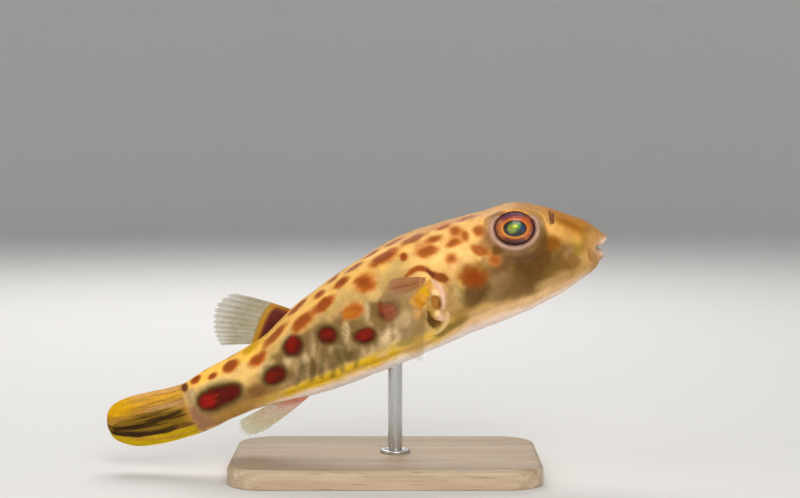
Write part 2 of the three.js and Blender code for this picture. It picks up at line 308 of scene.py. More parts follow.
# %% The camera
LENS = 85.0
SENSOR = 36.0
SEEN_WIDTH = 166.0  # of the fish's plane, across the picture
AIM = np.array([9.0, 0.0, 46.6])
LOOK_DOWN = math.radians(4)

distance = SEEN_WIDTH * LENS / SENSOR
camera = bpy.data.objects.new("camera", bpy.data.cameras.new("camera"))
camera.data.lens = LENS
camera.data.sensor_width = SENSOR
camera.data.clip_start = 0.01
camera.data.clip_end = 20.0
camera.location = (AIM + distance * np.array([0, -math.cos(LOOK_DOWN), math.sin(LOOK_DOWN)])) * MM
camera.rotation_euler = (math.pi / 2 - LOOK_DOWN, 0, 0)
bpy.context.scene.collection.objects.link(camera)
bpy.context.scene.camera = camera
print("camera", round(distance), "mm away")

# %% The lamps and the air's own light
LAMP_AIM = np.array([0, 0, 35.0])  # the fish's middle


def lamp(name, place, size, power, colour):
    """A square lamp that faces the fish's middle. Place and size are in millimetres."""
    light = bpy.data.lights.new(name, "AREA")
    light.shape = "SQUARE"
    light.size = size * MM
    light.energy = power
    light.color = colour
    lamp_object = bpy.data.objects.new(name, light)
    back = unit(np.array(place, float) - LAMP_AIM)
    side = unit(np.cross([0, 0, 1.0], back))
    for row in range(3):
        for column, direction in enumerate((side, np.cross(back, side), back)):
            lamp_object.matrix_world[row][column] = direction[row]
        lamp_object.matrix_world[row][3] = place[row] * MM
    bpy.context.scene.collection.objects.link(lamp_object)
    return lamp_object


lamp("key_lamp", (110, -460, 340), 300, 1.15, (1.0, 0.98, 0.94))
low_lamp = lamp("low_lamp", (-30, -500, 30), 260, 1.9, (1.0, 0.98, 0.95))
low_lamp.visible_glossy = False  # it fills the shade under the fish and leaves no glare on its flank
lamp("side_lamp", (-420, -160, 260), 260, 0.3, (0.96, 0.98, 1.0))
lamp("back_lamp", (-60, 380, 420), 320, 1.6, (1.0, 0.98, 0.95))

world = bpy.data.worlds.new("studio")
world.use_nodes = True
world.node_tree.nodes["Background"].inputs["Color"].default_value = (0.93, 0.95, 1.0, 1)
world.node_tree.nodes["Background"].inputs["Strength"].default_value = 0.36
bpy.context.scene.world = world
bpy.context.scene.view_settings.view_transform = "Standard"
print("low lamp", round(low_lamp.location.length / MM), "mm from the middle of the base")

# %% The pale sweep
FLAT, BEND, WALL = 900.0, 500.0, 900.0  # the floor's radius, the curve's radius and the wall's height
SWEEP_ROWS, SWEEP_ROUND = 60, 96


def turned_profile(radius, height, columns, middle=(0.0, 0.0)):
    """A profile of radii and heights turned about an upright axis."""
    turn = np.linspace(0, 2 * math.pi, columns, endpoint=False)
    return np.stack([middle[0] + np.outer(radius, np.cos(turn)), middle[1] + np.outer(radius, np.sin(turn)),
                     np.outer(height, np.ones(columns))], -1)


# Along the profile it is flat, then a quarter circle, and then a wall.
along = np.linspace(0.001, 1, SWEEP_ROWS) * (FLAT + BEND * math.pi / 2 + WALL)
bent = np.clip((along - FLAT) / BEND, 0, math.pi / 2)
sweep_radius = np.minimum(along, FLAT) + BEND * np.sin(bent)
sweep_height = BEND * (1 - np.cos(bent)) + np.maximum(along - FLAT - BEND * math.pi / 2, 0)
sweep = turned_profile(sweep_radius, sweep_height, SWEEP_ROUND).reshape(-1, 3)
rim = np.arange(SWEEP_ROUND)
hub = np.full(SWEEP_ROUND, len(sweep))
fan = np.stack([hub, hub, (rim + 1) % SWEEP_ROUND, rim], -1)
floor_paper = bpy.data.materials.new("floor_paper")
floor_paper.use_nodes = True
floor_paper.node_tree.nodes["Principled BSDF"].inputs["Base Color"].default_value = (0.84, 0.83, 0.81, 1)
floor_paper.node_tree.nodes["Principled BSDF"].inputs["Roughness"].default_value = 0.9
floor = new_object("floor", np.vstack([sweep, [[0, 0, 0]]]),
                   np.vstack([grid_faces(SWEEP_ROWS, SWEEP_ROUND), fan]), floor_paper)

# %% [markdown]
# ## Nodes for the finishes
#
# A finish is a small tree of nodes that ends in the Principled shader. Writing nodes out one by one is
# long, so a small class adds a node and feeds its inputs in one line. Patterns are laid out on the Object
# coordinates, which stay with the model, or on numbers and colours stored on the mesh's points.

# %% A finish and its steps
MULTIPLY, SUBTRACT = "MULTIPLY", "SUBTRACT"


class Finish:
    """A material while its nodes are being joined."""

    def __init__(self, name):
        self.material = bpy.data.materials.new(name)
        self.material.use_nodes = True
        self.tree = self.material.node_tree
        self.shader = self.tree.nodes["Principled BSDF"]

    def feed(self, target, inputs):
        """Sets inputs to values, or joins them to another node's output."""
        for name, value in inputs.items():
            if isinstance(value, bpy.types.NodeSocket):
                self.tree.links.new(value, target.inputs[name])
            else:
                target.inputs[name].default_value = value

    def done(self, inputs):
        """Feeds the shader and gives the finished material."""
        self.feed(self.shader, inputs)
        return self.material

    def node(self, kind, inputs=None, **settings):
        """A new node with its settings, its inputs fed."""
        made = self.tree.nodes.new("ShaderNode" + kind)
        for name, value in settings.items():
            setattr(made, name, value)
        self.feed(made, inputs or {})
        return made

    def place(self):
        """The Object coordinates."""
        return self.node("TexCoord").outputs["Object"]

    def noise(self, size, detail=3.0, roughness=0.55, stretch=(1, 1, 1), distortion=0.0):
        """Noise with features of about that size in millimetres, 0 to 1 around a half."""
        place = self.node("Mapping", {"Vector": self.place(), "Scale": stretch}).outputs["Vector"]
        return self.node("TexNoise", {"Vector": place, "Scale": 1 / (size * MM), "Detail": detail,
                                      "Roughness": roughness, "Distortion": distortion}).outputs["Fac"]

    def maths(self, operation, first, second):
        """One sum of two numbers or outputs."""
        return self.node("Math", {0: first, 1: second}, operation=operation).outputs[0]

    def between(self, value, from_low, from_high, to_low, to_high):
        """A value carried from one range to another."""
        return self.node("MapRange", {"Value": value, "From Min": from_low, "From Max": from_high,
                                      "To Min": to_low, "To Max": to_high}).outputs["Result"]

    def mix(self, share, first, second, way="MIX"):
        """Two colours mixed by a share."""
        return self.node("Mix", {0: share, 6: first, 7: second}, data_type="RGBA", blend_type=way).outputs[2]

    def stored(self, name, output="Color"):
        """A colour stored on the mesh's points, or with the output Fac a number."""
        return self.node("Attribute", attribute_name=name).outputs[output]

    def raised(self, height, depth, under=None):
        """A bump of that depth in millimetres from a height of 0 to 1, over another bump if one is given."""
        inputs = {"Height": height, "Distance": depth * MM, "Strength": 1.0}
        if under is not None:
            inputs["Normal"] = under
        return self.node("Bump", inputs).outputs["Normal"]


print("a finish can", ", ".join(step for step in vars(Finish) if not step.startswith("_")))

# %% [markdown]
# ## The skin's grid, and the mouth
#
# The skin is one closed sheet. Its rows run round the body, and its columns run from the mouth to the
# tail's hind edge. The first rows lie inside the mouth: they come forward along its walls, roll over the
# thick lips and then meet the sections. Making the lips part of the loft gives them true roundness, which
# pushing a flat surface about would not. Near the mouth the rows lean back at the sides, because a
# mouth's corners lie behind its middle.

# %% Rings of the mouth
MOUTH_HEIGHT = 47.05
ROUND = 250  # columns of the skin; column 0 is along the belly, where the seam is least seen
LIP_START = 2.45  # the station where the lips have merged into the snout
MOUTH_ROWS = 46

angles = np.linspace(-0.5, 1.5, ROUND, endpoint=False) * math.pi
side_share = np.cos(angles)
over = np.sin(angles)


def mouth_ring(front_top, front_foot, corner, half, top, foot):
    """A ring round the mouth's opening. Seen from above it is a U: its middle lies at front, its sides at
    corner. Seen from ahead it is an oval that reaches top above the mouth's line and foot below it."""
    front = front_foot + (front_top - front_foot) * soft(over, -0.6, 0.6)
    x = corner + (front - corner) * (1 - np.abs(side_share) ** 2.6)
    z = MOUTH_HEIGHT + np.where(over > 0, top, foot) * np.sign(over) * np.abs(over) ** 0.85
    return np.stack([x, half * side_share, z], -1)


def lean(t):
    """How many stations the rows lie further back at the sides, near the mouth."""
    return 0.85 * (1 - soft(t, LIP_START, 5.5))


def body_ring(t):
    """One row of the skin on the body's sections."""
    return on_body(t + lean(t) * side_share**2, angles)


rings = np.stack([
    mouth_ring(45.6, 45.6, 45.5, 0.3, 0.1, 0.1),
    mouth_ring(46.4, 46.3, 45.8, 1.6, 0.5, 0.5),
    mouth_ring(48.4, 48.2, 47.4, 2.3, 0.55, 0.5),
    mouth_ring(50.1, 49.8, 48.7, 2.9, 0.42, 0.45),
    mouth_ring(51.15, 50.7, 49.15, 3.25, 0.7, 0.62),
    mouth_ring(51.85, 51.25, 49.3, 3.7, 1.75, 1.45),
    mouth_ring(51.45, 51.1, 49.0, 4.15, 2.65, 2.2),
    mouth_ring(50.72, 50.5, 48.6, 4.45, 3.15, 2.7),
    body_ring(LIP_START),
    body_ring(LIP_START + 0.25),
])
mouth_rows = spline(rings, np.linspace(0, len(rings) - 3, MOUTH_ROWS, endpoint=False))
print("mouth rows", mouth_rows.shape)

# %% Rows of the body
# The head needs the finest rows, because the eyes, gills and lips are there. Four arrays of the grid's
# shape then say where each point is: its station, its height in degrees, its side, and how far it is from
# the throat.
stations = np.concatenate([
    np.linspace(LIP_START, 9.6, 165, endpoint=False),
    np.linspace(9.6, 16.0, 118, endpoint=False),
    np.linspace(16.0, LAST, 64, endpoint=False),
])
station_grid = stations[:, None] + lean(stations)[:, None] * side_share**2
body_rows = on_body(station_grid, np.broadcast_to(angles, station_grid.shape))
smooth_skin = np.concatenate([mouth_rows, body_rows])  # marks and features are measured on this shape
lip_run = np.linspace(0.0, LIP_START, MOUTH_ROWS, endpoint=False)
mouth_station = lip_run[:, None] + lean(LIP_START) * side_share**2 * (lip_run[:, None] / LIP_START) ** 2
STATION = np.concatenate([mouth_station, station_grid])
LIP = np.concatenate([lip_run, stations])[:, None] + np.zeros(ROUND)
HEIGHT = np.broadcast_to(np.degrees(np.arcsin(over)), STATION.shape)
SIDE = np.broadcast_to(np.where(side_share > 0, LEFT, RIGHT), STATION.shape)
print("skin grid", smooth_skin.shape)

# %% [markdown]
# ## Sculpting the skin
#
# The smooth loft is now worked like clay: each feature moves the points of the grid out or in along the
# skin's normal. Distances are measured on the flank from a feature's own middle line, so each feature
# keeps its real size. The eyes' surround moves straight sideways, because it has to meet the eyeball all
# round.

# %% Tools for sculpting
FAR = 1e9


def press(grid, amount):
    """Moves the skin out by that many millimetres, or in where it is negative. It moves along the normals,
    which are the cross product of the grid's two directions."""
    along = np.gradient(grid, axis=0)
    around = np.roll(grid, -1, axis=1) - np.roll(grid, 1, axis=1)
    return grid + unit(np.cross(along, around)) * amount[..., None]


def to_segment(points, a, b):
    """How far each point lies from the straight line between a and b, and how far along it, 0 to 1."""
    along = np.clip(((points - a) @ (b - a)) / np.sum((b - a) ** 2), 0, 1)
    return np.linalg.norm(points - a - along[..., None] * (b - a), axis=-1), along


def near(path, side):
    """How far each point of that side lies from a curve through (station, degrees) places, and how far along
    the curve, 0 to 1."""
    knots = flank(*np.transpose(path), side)
    padded = np.vstack([2 * knots[0] - knots[1], knots, 2 * knots[-1] - knots[-2]])
    curve = spline(padded, np.linspace(0, len(path) - 1, 10 * len(path)))
    best = np.full(STATION.shape, FAR)
    share = np.zeros(STATION.shape)
    for k, (a, b) in enumerate(zip(curve[:-1], curve[1:])):
        gap, along = to_segment(smooth_skin, a, b)
        share = np.where(gap < best, (k + along) / (len(curve) - 1), share)
        best = np.minimum(best, gap)
    return np.where(SIDE == side, best, FAR), share


def flank_frame(t, degrees, side):
    """The flank's own directions ahead and up at a place."""
    ahead = unit(flank(t - 0.1, degrees, side) - flank(t + 0.1, degrees, side))
    return ahead, unit(flank(t, degrees + 2, side) - flank(t, degrees - 2, side))


def oval(t, degrees, long, tall, tilt=0.0, side=RIGHT):
    """How far each point lies from an oval's middle: 0 at its middle and 1 on its edge. Long runs along the
    fish, and tilt turns it nose-up."""
    ahead, upward = flank_frame(t, degrees, side)
    turn = math.radians(tilt)
    gap = smooth_skin - flank(t, degrees, side)
    first = gap @ (math.cos(turn) * ahead + math.sin(turn) * upward) / (long / 2)
    second = gap @ (math.cos(turn) * upward - math.sin(turn) * ahead) / (tall / 2)
    third = gap @ unit(np.cross(ahead, upward)) / max(long, tall)
    return np.sqrt(first**2 + second**2 + third**2)


def outline(places, side):
    """How deep each point lies inside a closed outline through (station, degrees) places, in millimetres; it
    is negative outside. The flank near the places is taken as flat. The depth is the distance to the nearest
    part of the outline, and a point is inside where its turn round the outline makes a full circle."""
    t, degrees = np.transpose(places)
    knots = flank(t, degrees, side)
    plane = np.stack(flank_frame(t.mean(), degrees.mean(), side), -1)
    ring = np.vstack([knots[-1:], knots, knots[:2]]) @ plane
    ring = spline(ring, np.linspace(0, len(places), 6 * len(places), endpoint=False))
    spot = smooth_skin @ plane
    best = np.full(STATION.shape, FAR)
    turn = np.zeros(STATION.shape)
    for a, b in zip(ring, np.roll(ring, -1, axis=0)):
        best = np.minimum(best, to_segment(spot, a, b)[0])
        first, second = a - spot, b - spot
        turn += np.arctan2(first[..., 0] * second[..., 1] - first[..., 1] * second[..., 0],
                           np.sum(first * second, -1))
    own = (SIDE == side) & (np.linalg.norm(smooth_skin - knots.mean(0), axis=-1) < 25)
    return np.where(own, np.where(np.abs(turn) > math.pi, best, -best), -FAR)


print("the skin's widest place is", abs(smooth_skin[..., 1]).max().round(1), "mm from the middle")

# %% The eyes' surrounds
# The rim of the opening is an oval on the eyeball. Skin inside it dives behind the ball. Skin outside it
# rises in a soft ring and then runs out into the head.
eye_low, eye_high = (np.array(corner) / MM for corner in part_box("eye_right"))
EYE = (eye_low + eye_high) / 2
EYE_REACH = (eye_high - eye_low) / 2
OPENING = np.array([4.2, 3.5])  # half width and half height of the eye's opening
RING = 1.15  # how wide the ring of skin is
RING_RISE = 0.55
RUN_OUT = 4.2  # the ring has run out into the head this far from the opening
EYE_AREA = (14, 9)  # only skin within this ahead, behind and below is moved


def eyeball_side(dx, dz):
    """How far out the eyeball's surface lies at an offset from its middle."""
    inside = 1 - (dx / EYE_REACH[0]) ** 2 - (dz / EYE_REACH[2]) ** 2
    return abs(EYE[1]) + EYE_REACH[1] * np.sqrt(np.maximum(inside, 0))


def set_eyes(grid):
    """Moves the skin sideways round both eyes, by its distance in space from the rim of the opening. It also
    gives each point's share of the way to the rim, and its distance beyond it."""
    dx, dz = grid[..., 0] - EYE[0], grid[..., 2] - EYE[2]
    own = np.abs(grid[..., 1])
    share = np.hypot(dx / OPENING[0], dz / OPENING[1])
    rim = eyeball_side(dx / np.maximum(share, 1), dz / np.maximum(share, 1)) - 0.12
    across = (share - 1) * np.hypot(dx, dz) / np.maximum(share, 1e-6)
    beyond = np.hypot(across, np.maximum(rim - own - 1.0, 0)) * np.sign(across)
    hidden = eyeball_side(dx, dz) - 0.25 - 2.4 * soft(1 - share, 0.02, 0.4)
    crest = rim + RING_RISE * np.sin(math.pi * np.clip(beyond / RING, 0, 1) ** 0.8)
    around = crest + (own - crest) * soft(beyond, 0.5 * RING, RUN_OUT)
    wanted = np.where(share < 1, hidden, around)
    near_eye = (np.abs(dx) < EYE_AREA[0]) & (dz > -EYE_AREA[1])
    moved = own + (wanted - own) * np.where(near_eye, 1 - soft(beyond, RUN_OUT, RUN_OUT + 0.8), 0)
    # The brow closes over the top of the ball, which stands higher than the opening
    over_ball = near_eye & (share >= 1) & (np.hypot(dx / EYE_REACH[0], dz / EYE_REACH[2]) < 1.05)
    moved = np.where(over_ball, np.maximum(moved, eyeball_side(dx * 0.95, dz * 0.95) + 0.2), moved)
    out = grid.copy()
    out[..., 1] = np.sign(grid[..., 1]) * moved
    return out, np.where(near_eye, share, FAR), np.where(near_eye, beyond, FAR)


skin_grid, eye_share, eye_beyond = set_eyes(smooth_skin)
print("eye opening", OPENING * 2, "mm, ball", (EYE_REACH * 2).round(1))

# %% The gill openings and the fleshy fin roots
LOBE = [(8.81, 11), (8.97, 9), (9.2, 5), (9.42, 2), (9.49, -2), (9.42, -8), (9.32, -11), (9.2, -9),
        (9.07, -6), (8.95, -1), (8.85, 5)]
GILL_RIM = [(8.79, 11), (8.66, 7), (8.59, 1), (8.59, -7), (8.66, -15), (8.78, -20), (8.83, -16),
            (8.74, -10), (8.72, -3), (8.75, 4)]
UPPER_HOLLOW = [(8.92, -5), (8.8, -6), (8.74, -11), (8.78, -17), (8.88, -19), (8.98, -16), (8.98, -10)]
LOWER_HOLLOW = [(9.21, -16), (9.25, -23), (9.26, -30), (9.19, -36), (9.05, -36), (8.94, -33), (9.0, -30),
                (9.1, -27), (9.14, -22), (9.14, -18)]
LOW_RIM = [(8.7, -25), (8.78, -32), (8.99, -38.5), (9.19, -41)]


def filled(places, start, end):
    """1 inside an outline on both flanks and 0 outside it, from one depth in millimetres to another."""
    return sum(soft(outline(places, side), start, end) for side in BOTH)


lobe = filled(LOBE, -0.4, 0.35)
gill_rim = filled(GILL_RIM, -0.5, 0.35)
upper_hollow = filled(UPPER_HOLLOW, -0.35, 0.45)
lower_hollow = filled(LOWER_HOLLOW, -0.4, 0.45)
low_rim = sum(bump(near(LOW_RIM, side)[0], 0, 0.42) for side in BOTH)
hollow = np.maximum(upper_hollow, lower_hollow)
skin_grid = press(skin_grid, 0.75 * lobe + 0.4 * gill_rim + 0.3 * low_rim - 0.95 * hollow)
print("gill openings take up", int((hollow > 0.5).sum()), "points of the skin")

# %% Folds, creases and the tail's rays
FOLD_STATIONS = [3.0, 4.2, 5.4, 6.6, 8.2, 9.2, 10.3, 11.5, 12.6, 13.8, 16.0]
FOLD_DEGREES = [-30, -33, -37, -39, -40, -52, -48, -46, -48, -58, -76]
FOLD = list(zip(FOLD_STATIONS[1:-1], FOLD_DEGREES[1:-1]))
# Each upright crease of the flank leans back a little: its station at the top, then the degrees of its
# ends
CREASES = [
    [(start, top), (start + 0.16, (top + foot) / 2), (start + 0.34, foot)]
    for start, top, foot in [(10.95, -14, -40), (11.25, -2, -38), (11.55, -16, -42), (11.8, -6, -38),
                             (12.1, -12, -40), (12.45, -14, -36)]
]
LIP_CREASE = [(3.1, 2), (3.02, -12), (2.98, -26)]
RAYS = 10  # of the tail fin, before they branch

work = np.zeros(STATION.shape)
for side in BOTH:
    gap, share = near(FOLD, side)
    work -= 0.16 * bump(gap, 0, 0.5) * window(share, 0.1, 0.95, 0.2)
    work += 0.12 * bump(gap, 1.4, 1.0)
    for crease in CREASES:
        work -= 0.13 * bump(near(crease, side)[0], 0, 0.28)
    gap, share = near(LIP_CREASE, side)
    work -= 0.22 * bump(gap, 0, 0.35) * np.sin(math.pi * share)
skin_grid = press(skin_grid, work)

# The tail fin's rays fan out with its outline: each keeps its share of the fin's height.
UPWARD = np.sin(np.radians(HEIGHT))
tail_share = soft(STATION, 16.1, 17.2)
single = np.cos(UPWARD * math.pi * RAYS * (1 + 0.02 * ripple(smooth_skin, 6, 3)))
forked = np.cos(UPWARD * math.pi * RAYS * 2)
branch = soft(STATION, 17.6, 18.8)
tail_rays = (1 - branch) * single + branch * forked
flat_side = np.abs(np.cos(np.radians(HEIGHT)))
skin_grid = press(skin_grid, 0.11 * tail_rays * tail_share * flat_side)
step = bump(STATION + 0.16 * UPWARD, 16.35, 0.12)
skin_grid = press(skin_grid, -0.14 * step * flat_side)
print("folds and rays reach", abs(work).max().round(2), "mm")

# %% A living surface
# Nothing alive is quite smooth: broad hollows of a few millimetres, and finer unevenness.
flesh = 0.09 * ripple(smooth_skin, 6.0, 11) + 0.04 * ripple(smooth_skin, 2.2, 12)
calm = soft(STATION, 2.0, 4.0) * (1 - 0.7 * tail_share) * soft(eye_beyond, 0.4, 2.0)
skin_grid = press(skin_grid, flesh * calm)
print("unevenness up to", abs(flesh * calm).max().round(2), "mm")

# %% [markdown]
# ## Painting the skin
#
# A museum model is painted in layers, and so is this one: first the ground colours of back, flank and
# belly, then each spot and ring by name, and last the small tints, among them painted highlights on the
# snout, the eye rings, the gills and the long spot, and painted shade round the eyes and the cheek spot, in
# the gills and the mouth, and along the creases. Each layer is a colour and a mask over the grid's points.
# An image painted by hand would do too, but a layer in numbers stays sharp and can be changed in one
# place. The spots' borders are made uneven with noise, and the other flank gets the same spots, shifted a
# little, as no fish has two sides alike.

# %% The palette and the brushes
PAINT = np.zeros(STATION.shape + (3,))
WOBBLE = 0.7 * ripple(smooth_skin, 2.4, 21) + 0.3 * ripple(smooth_skin, 0.9, 22)


def lay(colour, mask):
    """Lays a colour over the skin's paint."""
    paint_over(PAINT, [(colour, mask)])


def inside(distance, edge=0.3, rough=0.16):
    """1 inside an oval and 0 outside it, with a soft uneven border."""
    return 1 - soft(distance + rough * WOBBLE, 1 - edge / 2, 1 + edge / 2)


def dabs(rows, rough=0.16, where=1.0):
    """Lays ovals on both flanks. A row holds a colour, a station and degrees, a length and height in
    millimetres, a tilt, how strong the colour is, and how soft its border. Where is a mask over them all."""
    for side in BOTH:
        for colour, t, degrees, long, tall, tilt, strength, edge in rows:
            lay(colour, inside(oval(t, degrees, long, tall, tilt, side), edge, rough) * where * strength)


def stroke(colour, path, half_width, strength, edge=0.5):
    """A brush stroke on both flanks along a path through (station, degrees) places. It tapers to nothing at
    its ends."""
    for side in BOTH:
        gap, share = near(path, side)
        width = half_width * np.sqrt(np.clip(4 * share * (1 - share), 0.02, 1))
        lay(colour, (1 - soft(gap + 0.15 * WOBBLE, width, width + edge)) * strength)


def spread(places, seed):
    """The same places for both flanks: the right as given, the left shifted a little at random."""
    random = np.random.default_rng(seed)
    for t, degrees, long, tall, tilt in places:
        yield (t, degrees, long, tall, tilt, RIGHT)
        a, b, c, d = random.uniform(-1, 1, 4)
        yield (t + 0.16 * a, degrees + 6 * b, long * (1 + 0.15 * c), tall * (1 + 0.12 * d), tilt, LEFT)


print("the borders' unevenness is", abs(WOBBLE).mean().round(2), "on average")

# %% Ground colours, in bands from the back down to the belly
# A band is a colour, a span of stations, a span of degrees, a strength, and how softly each span ends.
BANDS = [
    ("#f2bd62", 8.6, 14, 42, 120), ("#c09c5c", 9.2, 13.8, 4, 40), ("#76592f", 9.4, 13.6, -22, 20, "cloudy"),
    ("#7c5e38", 10.9, 12.4, 0, 26, 0.7, 0.4, 12), ("#8a6e48", 9.4, 13.2, -42, -14),
    ("#ffc552", 13.0, 16.3, 34, 120), ("#e4ba6c", 13.2, 16.4, 4, 34), ("#80592c", 13.3, 14.6, -40, -14),
    ("#96703c", 14.4, 16.3, -74, -22), ("#946a4a", 15.75, 16.7, -70, 0, 1.0, 0.4, 20),
    ("#a5845a", 15.9, 16.5, 0, 40, 0.8, 0.3, 14), ("#a67c3c", 12.8, 15.6, -76, -38, 0.9),
    ("#f0b264", 4.6, 8.9, 14, 76), ("#f9cc7c", 7.2, 8.9, 14, 62, 0.7),
    ("#dfab62", 7.7, 8.8, -8, 20, 1.0, 0.5, 14), ("#a5804e", 8.0, 8.9, -28, -6, 0.9, 0.6, 12),
    ("#8a6832", 7.9, 8.7, -38, -24, 0.9, 0.6, 10), ("#9c6a20", 2.0, 4.6, -6, 50),
    ("#bb7c2a", 2.0, 5.2, 44, 120), ("#c08634", 5.4, 9.2, 62, 120, 0.6), ("#a57838", 2.4, 4.2, -40, 4),
]
cloudy = 0.8 + 0.3 * (0.5 + 0.5 * ripple(smooth_skin, 3.0, 23))
uneven_height = HEIGHT + 4 * WOBBLE


def lay_band(colour, first, last, foot, top, strength=1.0, fade=1.2, fade_degrees=16):
    """Lays one of the bands over both flanks."""
    mask = window(STATION, first, last, fade) * window(uneven_height, foot, top, fade_degrees)
    lay(colour, mask * (cloudy if strength == "cloudy" else strength))


lay("#dfb66c", np.ones(STATION.shape))
for row in BANDS:
    lay_band(*row)
print(len(BANDS), "bands laid")

# %% Broad patches of the head and flank
PATCHES = [
    ("#80602f", 5.6, -15, 28, 13, -5, 1.0, 1.0), ("#8a6c46", 7.1, -16, 6, 8, -20, 0.8, 0.9),
    ("#684a26", 6.4, -29, 10, 6.0, -6, 0.8, 1.3), ("#5a3b14", 5.95, -5, 9, 7.0, -24, 0.95, 0.9),
    ("#6b5020", 5.1, -12, 5.0, 6.0, -24, 0.7, 0.9), ("#5d3c12", 5.42, 8, 3.6, 8.5, -14, 0.85, 0.7),
    ("#64400f", 5.36, 24, 2.4, 4.6, -24, 0.85, 0.8), ("#6a4220", 6.9, 4, 5, 3.4, 12, 0.7, 0.8),
    ("#9c6c3a", 7.03, 27, 3.2, 4.6, 0, 0.8, 0.8), ("#8a4c2a", 6.55, 53, 3.4, 2.6, 0, 0.7, 0.9),
    ("#b87c3a", 5.75, 64, 6.5, 4.0, 4, 0.6, 0.9), ("#74501f", 4.5, -15, 5, 6.4, 0, 0.85, 0.9),
    ("#bd9558", 3.7, -25, 5.0, 6.5, 0, 0.85, 0.9), ("#a98460", 4.24, -2, 3.6, 3.0, 0, 0.6, 0.8),
    ("#b8955f", 5.3, -34, 6.0, 2.8, 0, 0.9, 1.0), ("#b18c55", 4.75, -32, 5.0, 3.2, 0, 0.85, 1.0),
    ("#7c551d", 4.22, -14, 3.0, 3.4, 0, 0.7, 0.9), ("#553713", 6.05, 4, 8.0, 2.8, 0, 0.5, 1.1),
    ("#f8c87a", 7.6, 19, 4.4, 3.0, 0, 0.8, 0.9), ("#834a04", 4.99, 17, 3.7, 3.5, 0, 0.95, 0.7),
    ("#8f7420", 3.85, 8, 2.4, 3.6, 0, 0.8, 0.7), ("#9f5f12", 4.1, 40, 6.2, 3.0, -28, 0.9, 0.7),
    ("#99671c", 3.3, 28, 3.6, 4.2, 0, 0.8, 0.9), ("#c28c4c", 2.75, 22, 2.2, 4.6, 0, 0.8, 0.8),
    ("#e6b56e", 8.1, 12, 3.0, 7, 0, 0.7, 0.8), ("#8c8458", 8.24, -10, 1.4, 4.4, 0, 0.5, 0.8),
    ("#b98f56", 9.0, -17, 5.4, 11.5, 10, 0.85, 0.5), ("#d8b98e", 10.3, -24, 5.2, 3.6, 0, 0.9, 0.8),
    ("#c4a67a", 10.9, -28, 6.0, 2.0, 0, 0.7, 0.8), ("#ccb288", 10.5, 10, 1.6, 4.0, -30, 0.8, 0.8),
    ("#c6aa80", 12.65, 4, 1.8, 4.6, -30, 0.8, 0.8), ("#b89c72", 11.45, -13, 3.5, 2.0, -30, 0.8, 0.8),
    ("#bca27a", 12.35, -12, 2.6, 4.6, -30, 0.8, 0.8), ("#d0b080", 13.3, 6, 3.6, 3.0, 0, 0.7, 0.8),
    ("#54411a", 11.39, -21, 6.4, 3.0, -26, 0.75, 1.3), ("#4f3a14", 12.23, -21, 4.4, 3.0, -24, 0.75, 1.3),
    ("#cfae84", 9.78, -14, 2.6, 4.0, -30, 0.6, 0.8), ("#c6ac80", 11.12, 0, 1.5, 4.6, -30, 0.9, 0.8),
    ("#b39468", 11.95, 4, 1.6, 5.0, -30, 0.7, 0.9), ("#e3bb78", 10.15, 21, 3.2, 2.6, 0, 0.7, 0.8),
    ("#6a4820", 13.7, -17, 6.0, 4.0, -4, 0.25, 1.3), ("#dcbf84", 15.05, 14, 7.0, 3.0, 0, 0.6, 0.8),
    ("#c6ae88", 16.04, 8, 1.3, 4.5, 0, 0.6, 0.8), ("#e8bd6e", 14.1, 22, 4.6, 3.2, 0, 0.7, 0.8),
]
for patch in PATCHES:
    dabs([patch], 0.14)

# Faint upright streaks over the flank's lower half
upright = smooth_skin * [1.0, 1.0, 0.22]
weave = ripple(upright, 0.8, 24) * window(STATION, 9.9, 13.4, 0.8) * window(HEIGHT, -33, 14, 16)
lay("#6b5730", 0.42 * soft(weave, 0.15, 0.9))
lay("#d8c094", 0.3 * soft(-weave, 0.2, 0.9))
print(len(PATCHES), "patches laid")

# %% The belly: tan at its border, a yellow band along the fold, and white below it
PALE_DEGREES = [-47, -47, -46, -44, -41, *FOLD_DEGREES[5:]]  # under the head the white starts below the fold
below = np.interp(STATION, FOLD_STATIONS, PALE_DEGREES) - (HEIGHT + 1.2 * WOBBLE)


def belly(first, first_end, last, last_end):
    """1 between two stations, with its own soft span at each end."""
    return soft(STATION, first, first_end) * (1 - soft(STATION, last, last_end))


lay("#cba26c", soft(below, -14, -2) * belly(2.4, 4.6, 13.5, 15.0))
lay("#e2be5a", window(below, -15, 3, 9) * window(STATION, 8.9, 13.8, 1.2) * (0.85 + 0.3 * WOBBLE))
lay("#d2a204", window(below, -12, 1, 6) * window(STATION, 9.4, 13.4, 1.0) * soft(WOBBLE, -1.3, 0.1) * 0.7)
lay("#ecca9a", soft(below, 0, 8) * belly(2.6, 5.2, 13.4, 15.0))
lay("#fff4ee", soft(below, 3, 13) * belly(2.8, 6.0, 12.8, 14.6))
lay("#edc7aa", window(below, -2, 26, 16) * belly(2.2, 3.8, 7.2, 9.6) * 0.5)
print("belly laid on", int((below > 0).sum()), "points")

# %% Ringed spots along the flank
# Each has a blood-red heart, a nearly black rim and an olive halo that fades into the ground. Like all
# spots below, a row is a station, degrees, a length, a height and a tilt.
OCELLI = [(13.16, -10, 4.9, 3.4, 4), (12.36, 16, 4.4, 3.5, 0), (11.51, 7, 4.0, 3.5, 0),
          (10.77, -12, 4.2, 3.0, -22)]
# The long spot before the tail is drawn by its outline: bright red behind and darker ahead
LONG_SPOT = [(15.9, 2), (15.72, 12), (15.34, 15), (14.96, 13), (14.62, 7), (14.43, 0), (14.38, -12),
             (14.52, -21), (14.81, -25), (15.12, -26), (15.47, -26), (15.75, -19), (15.92, -9)]


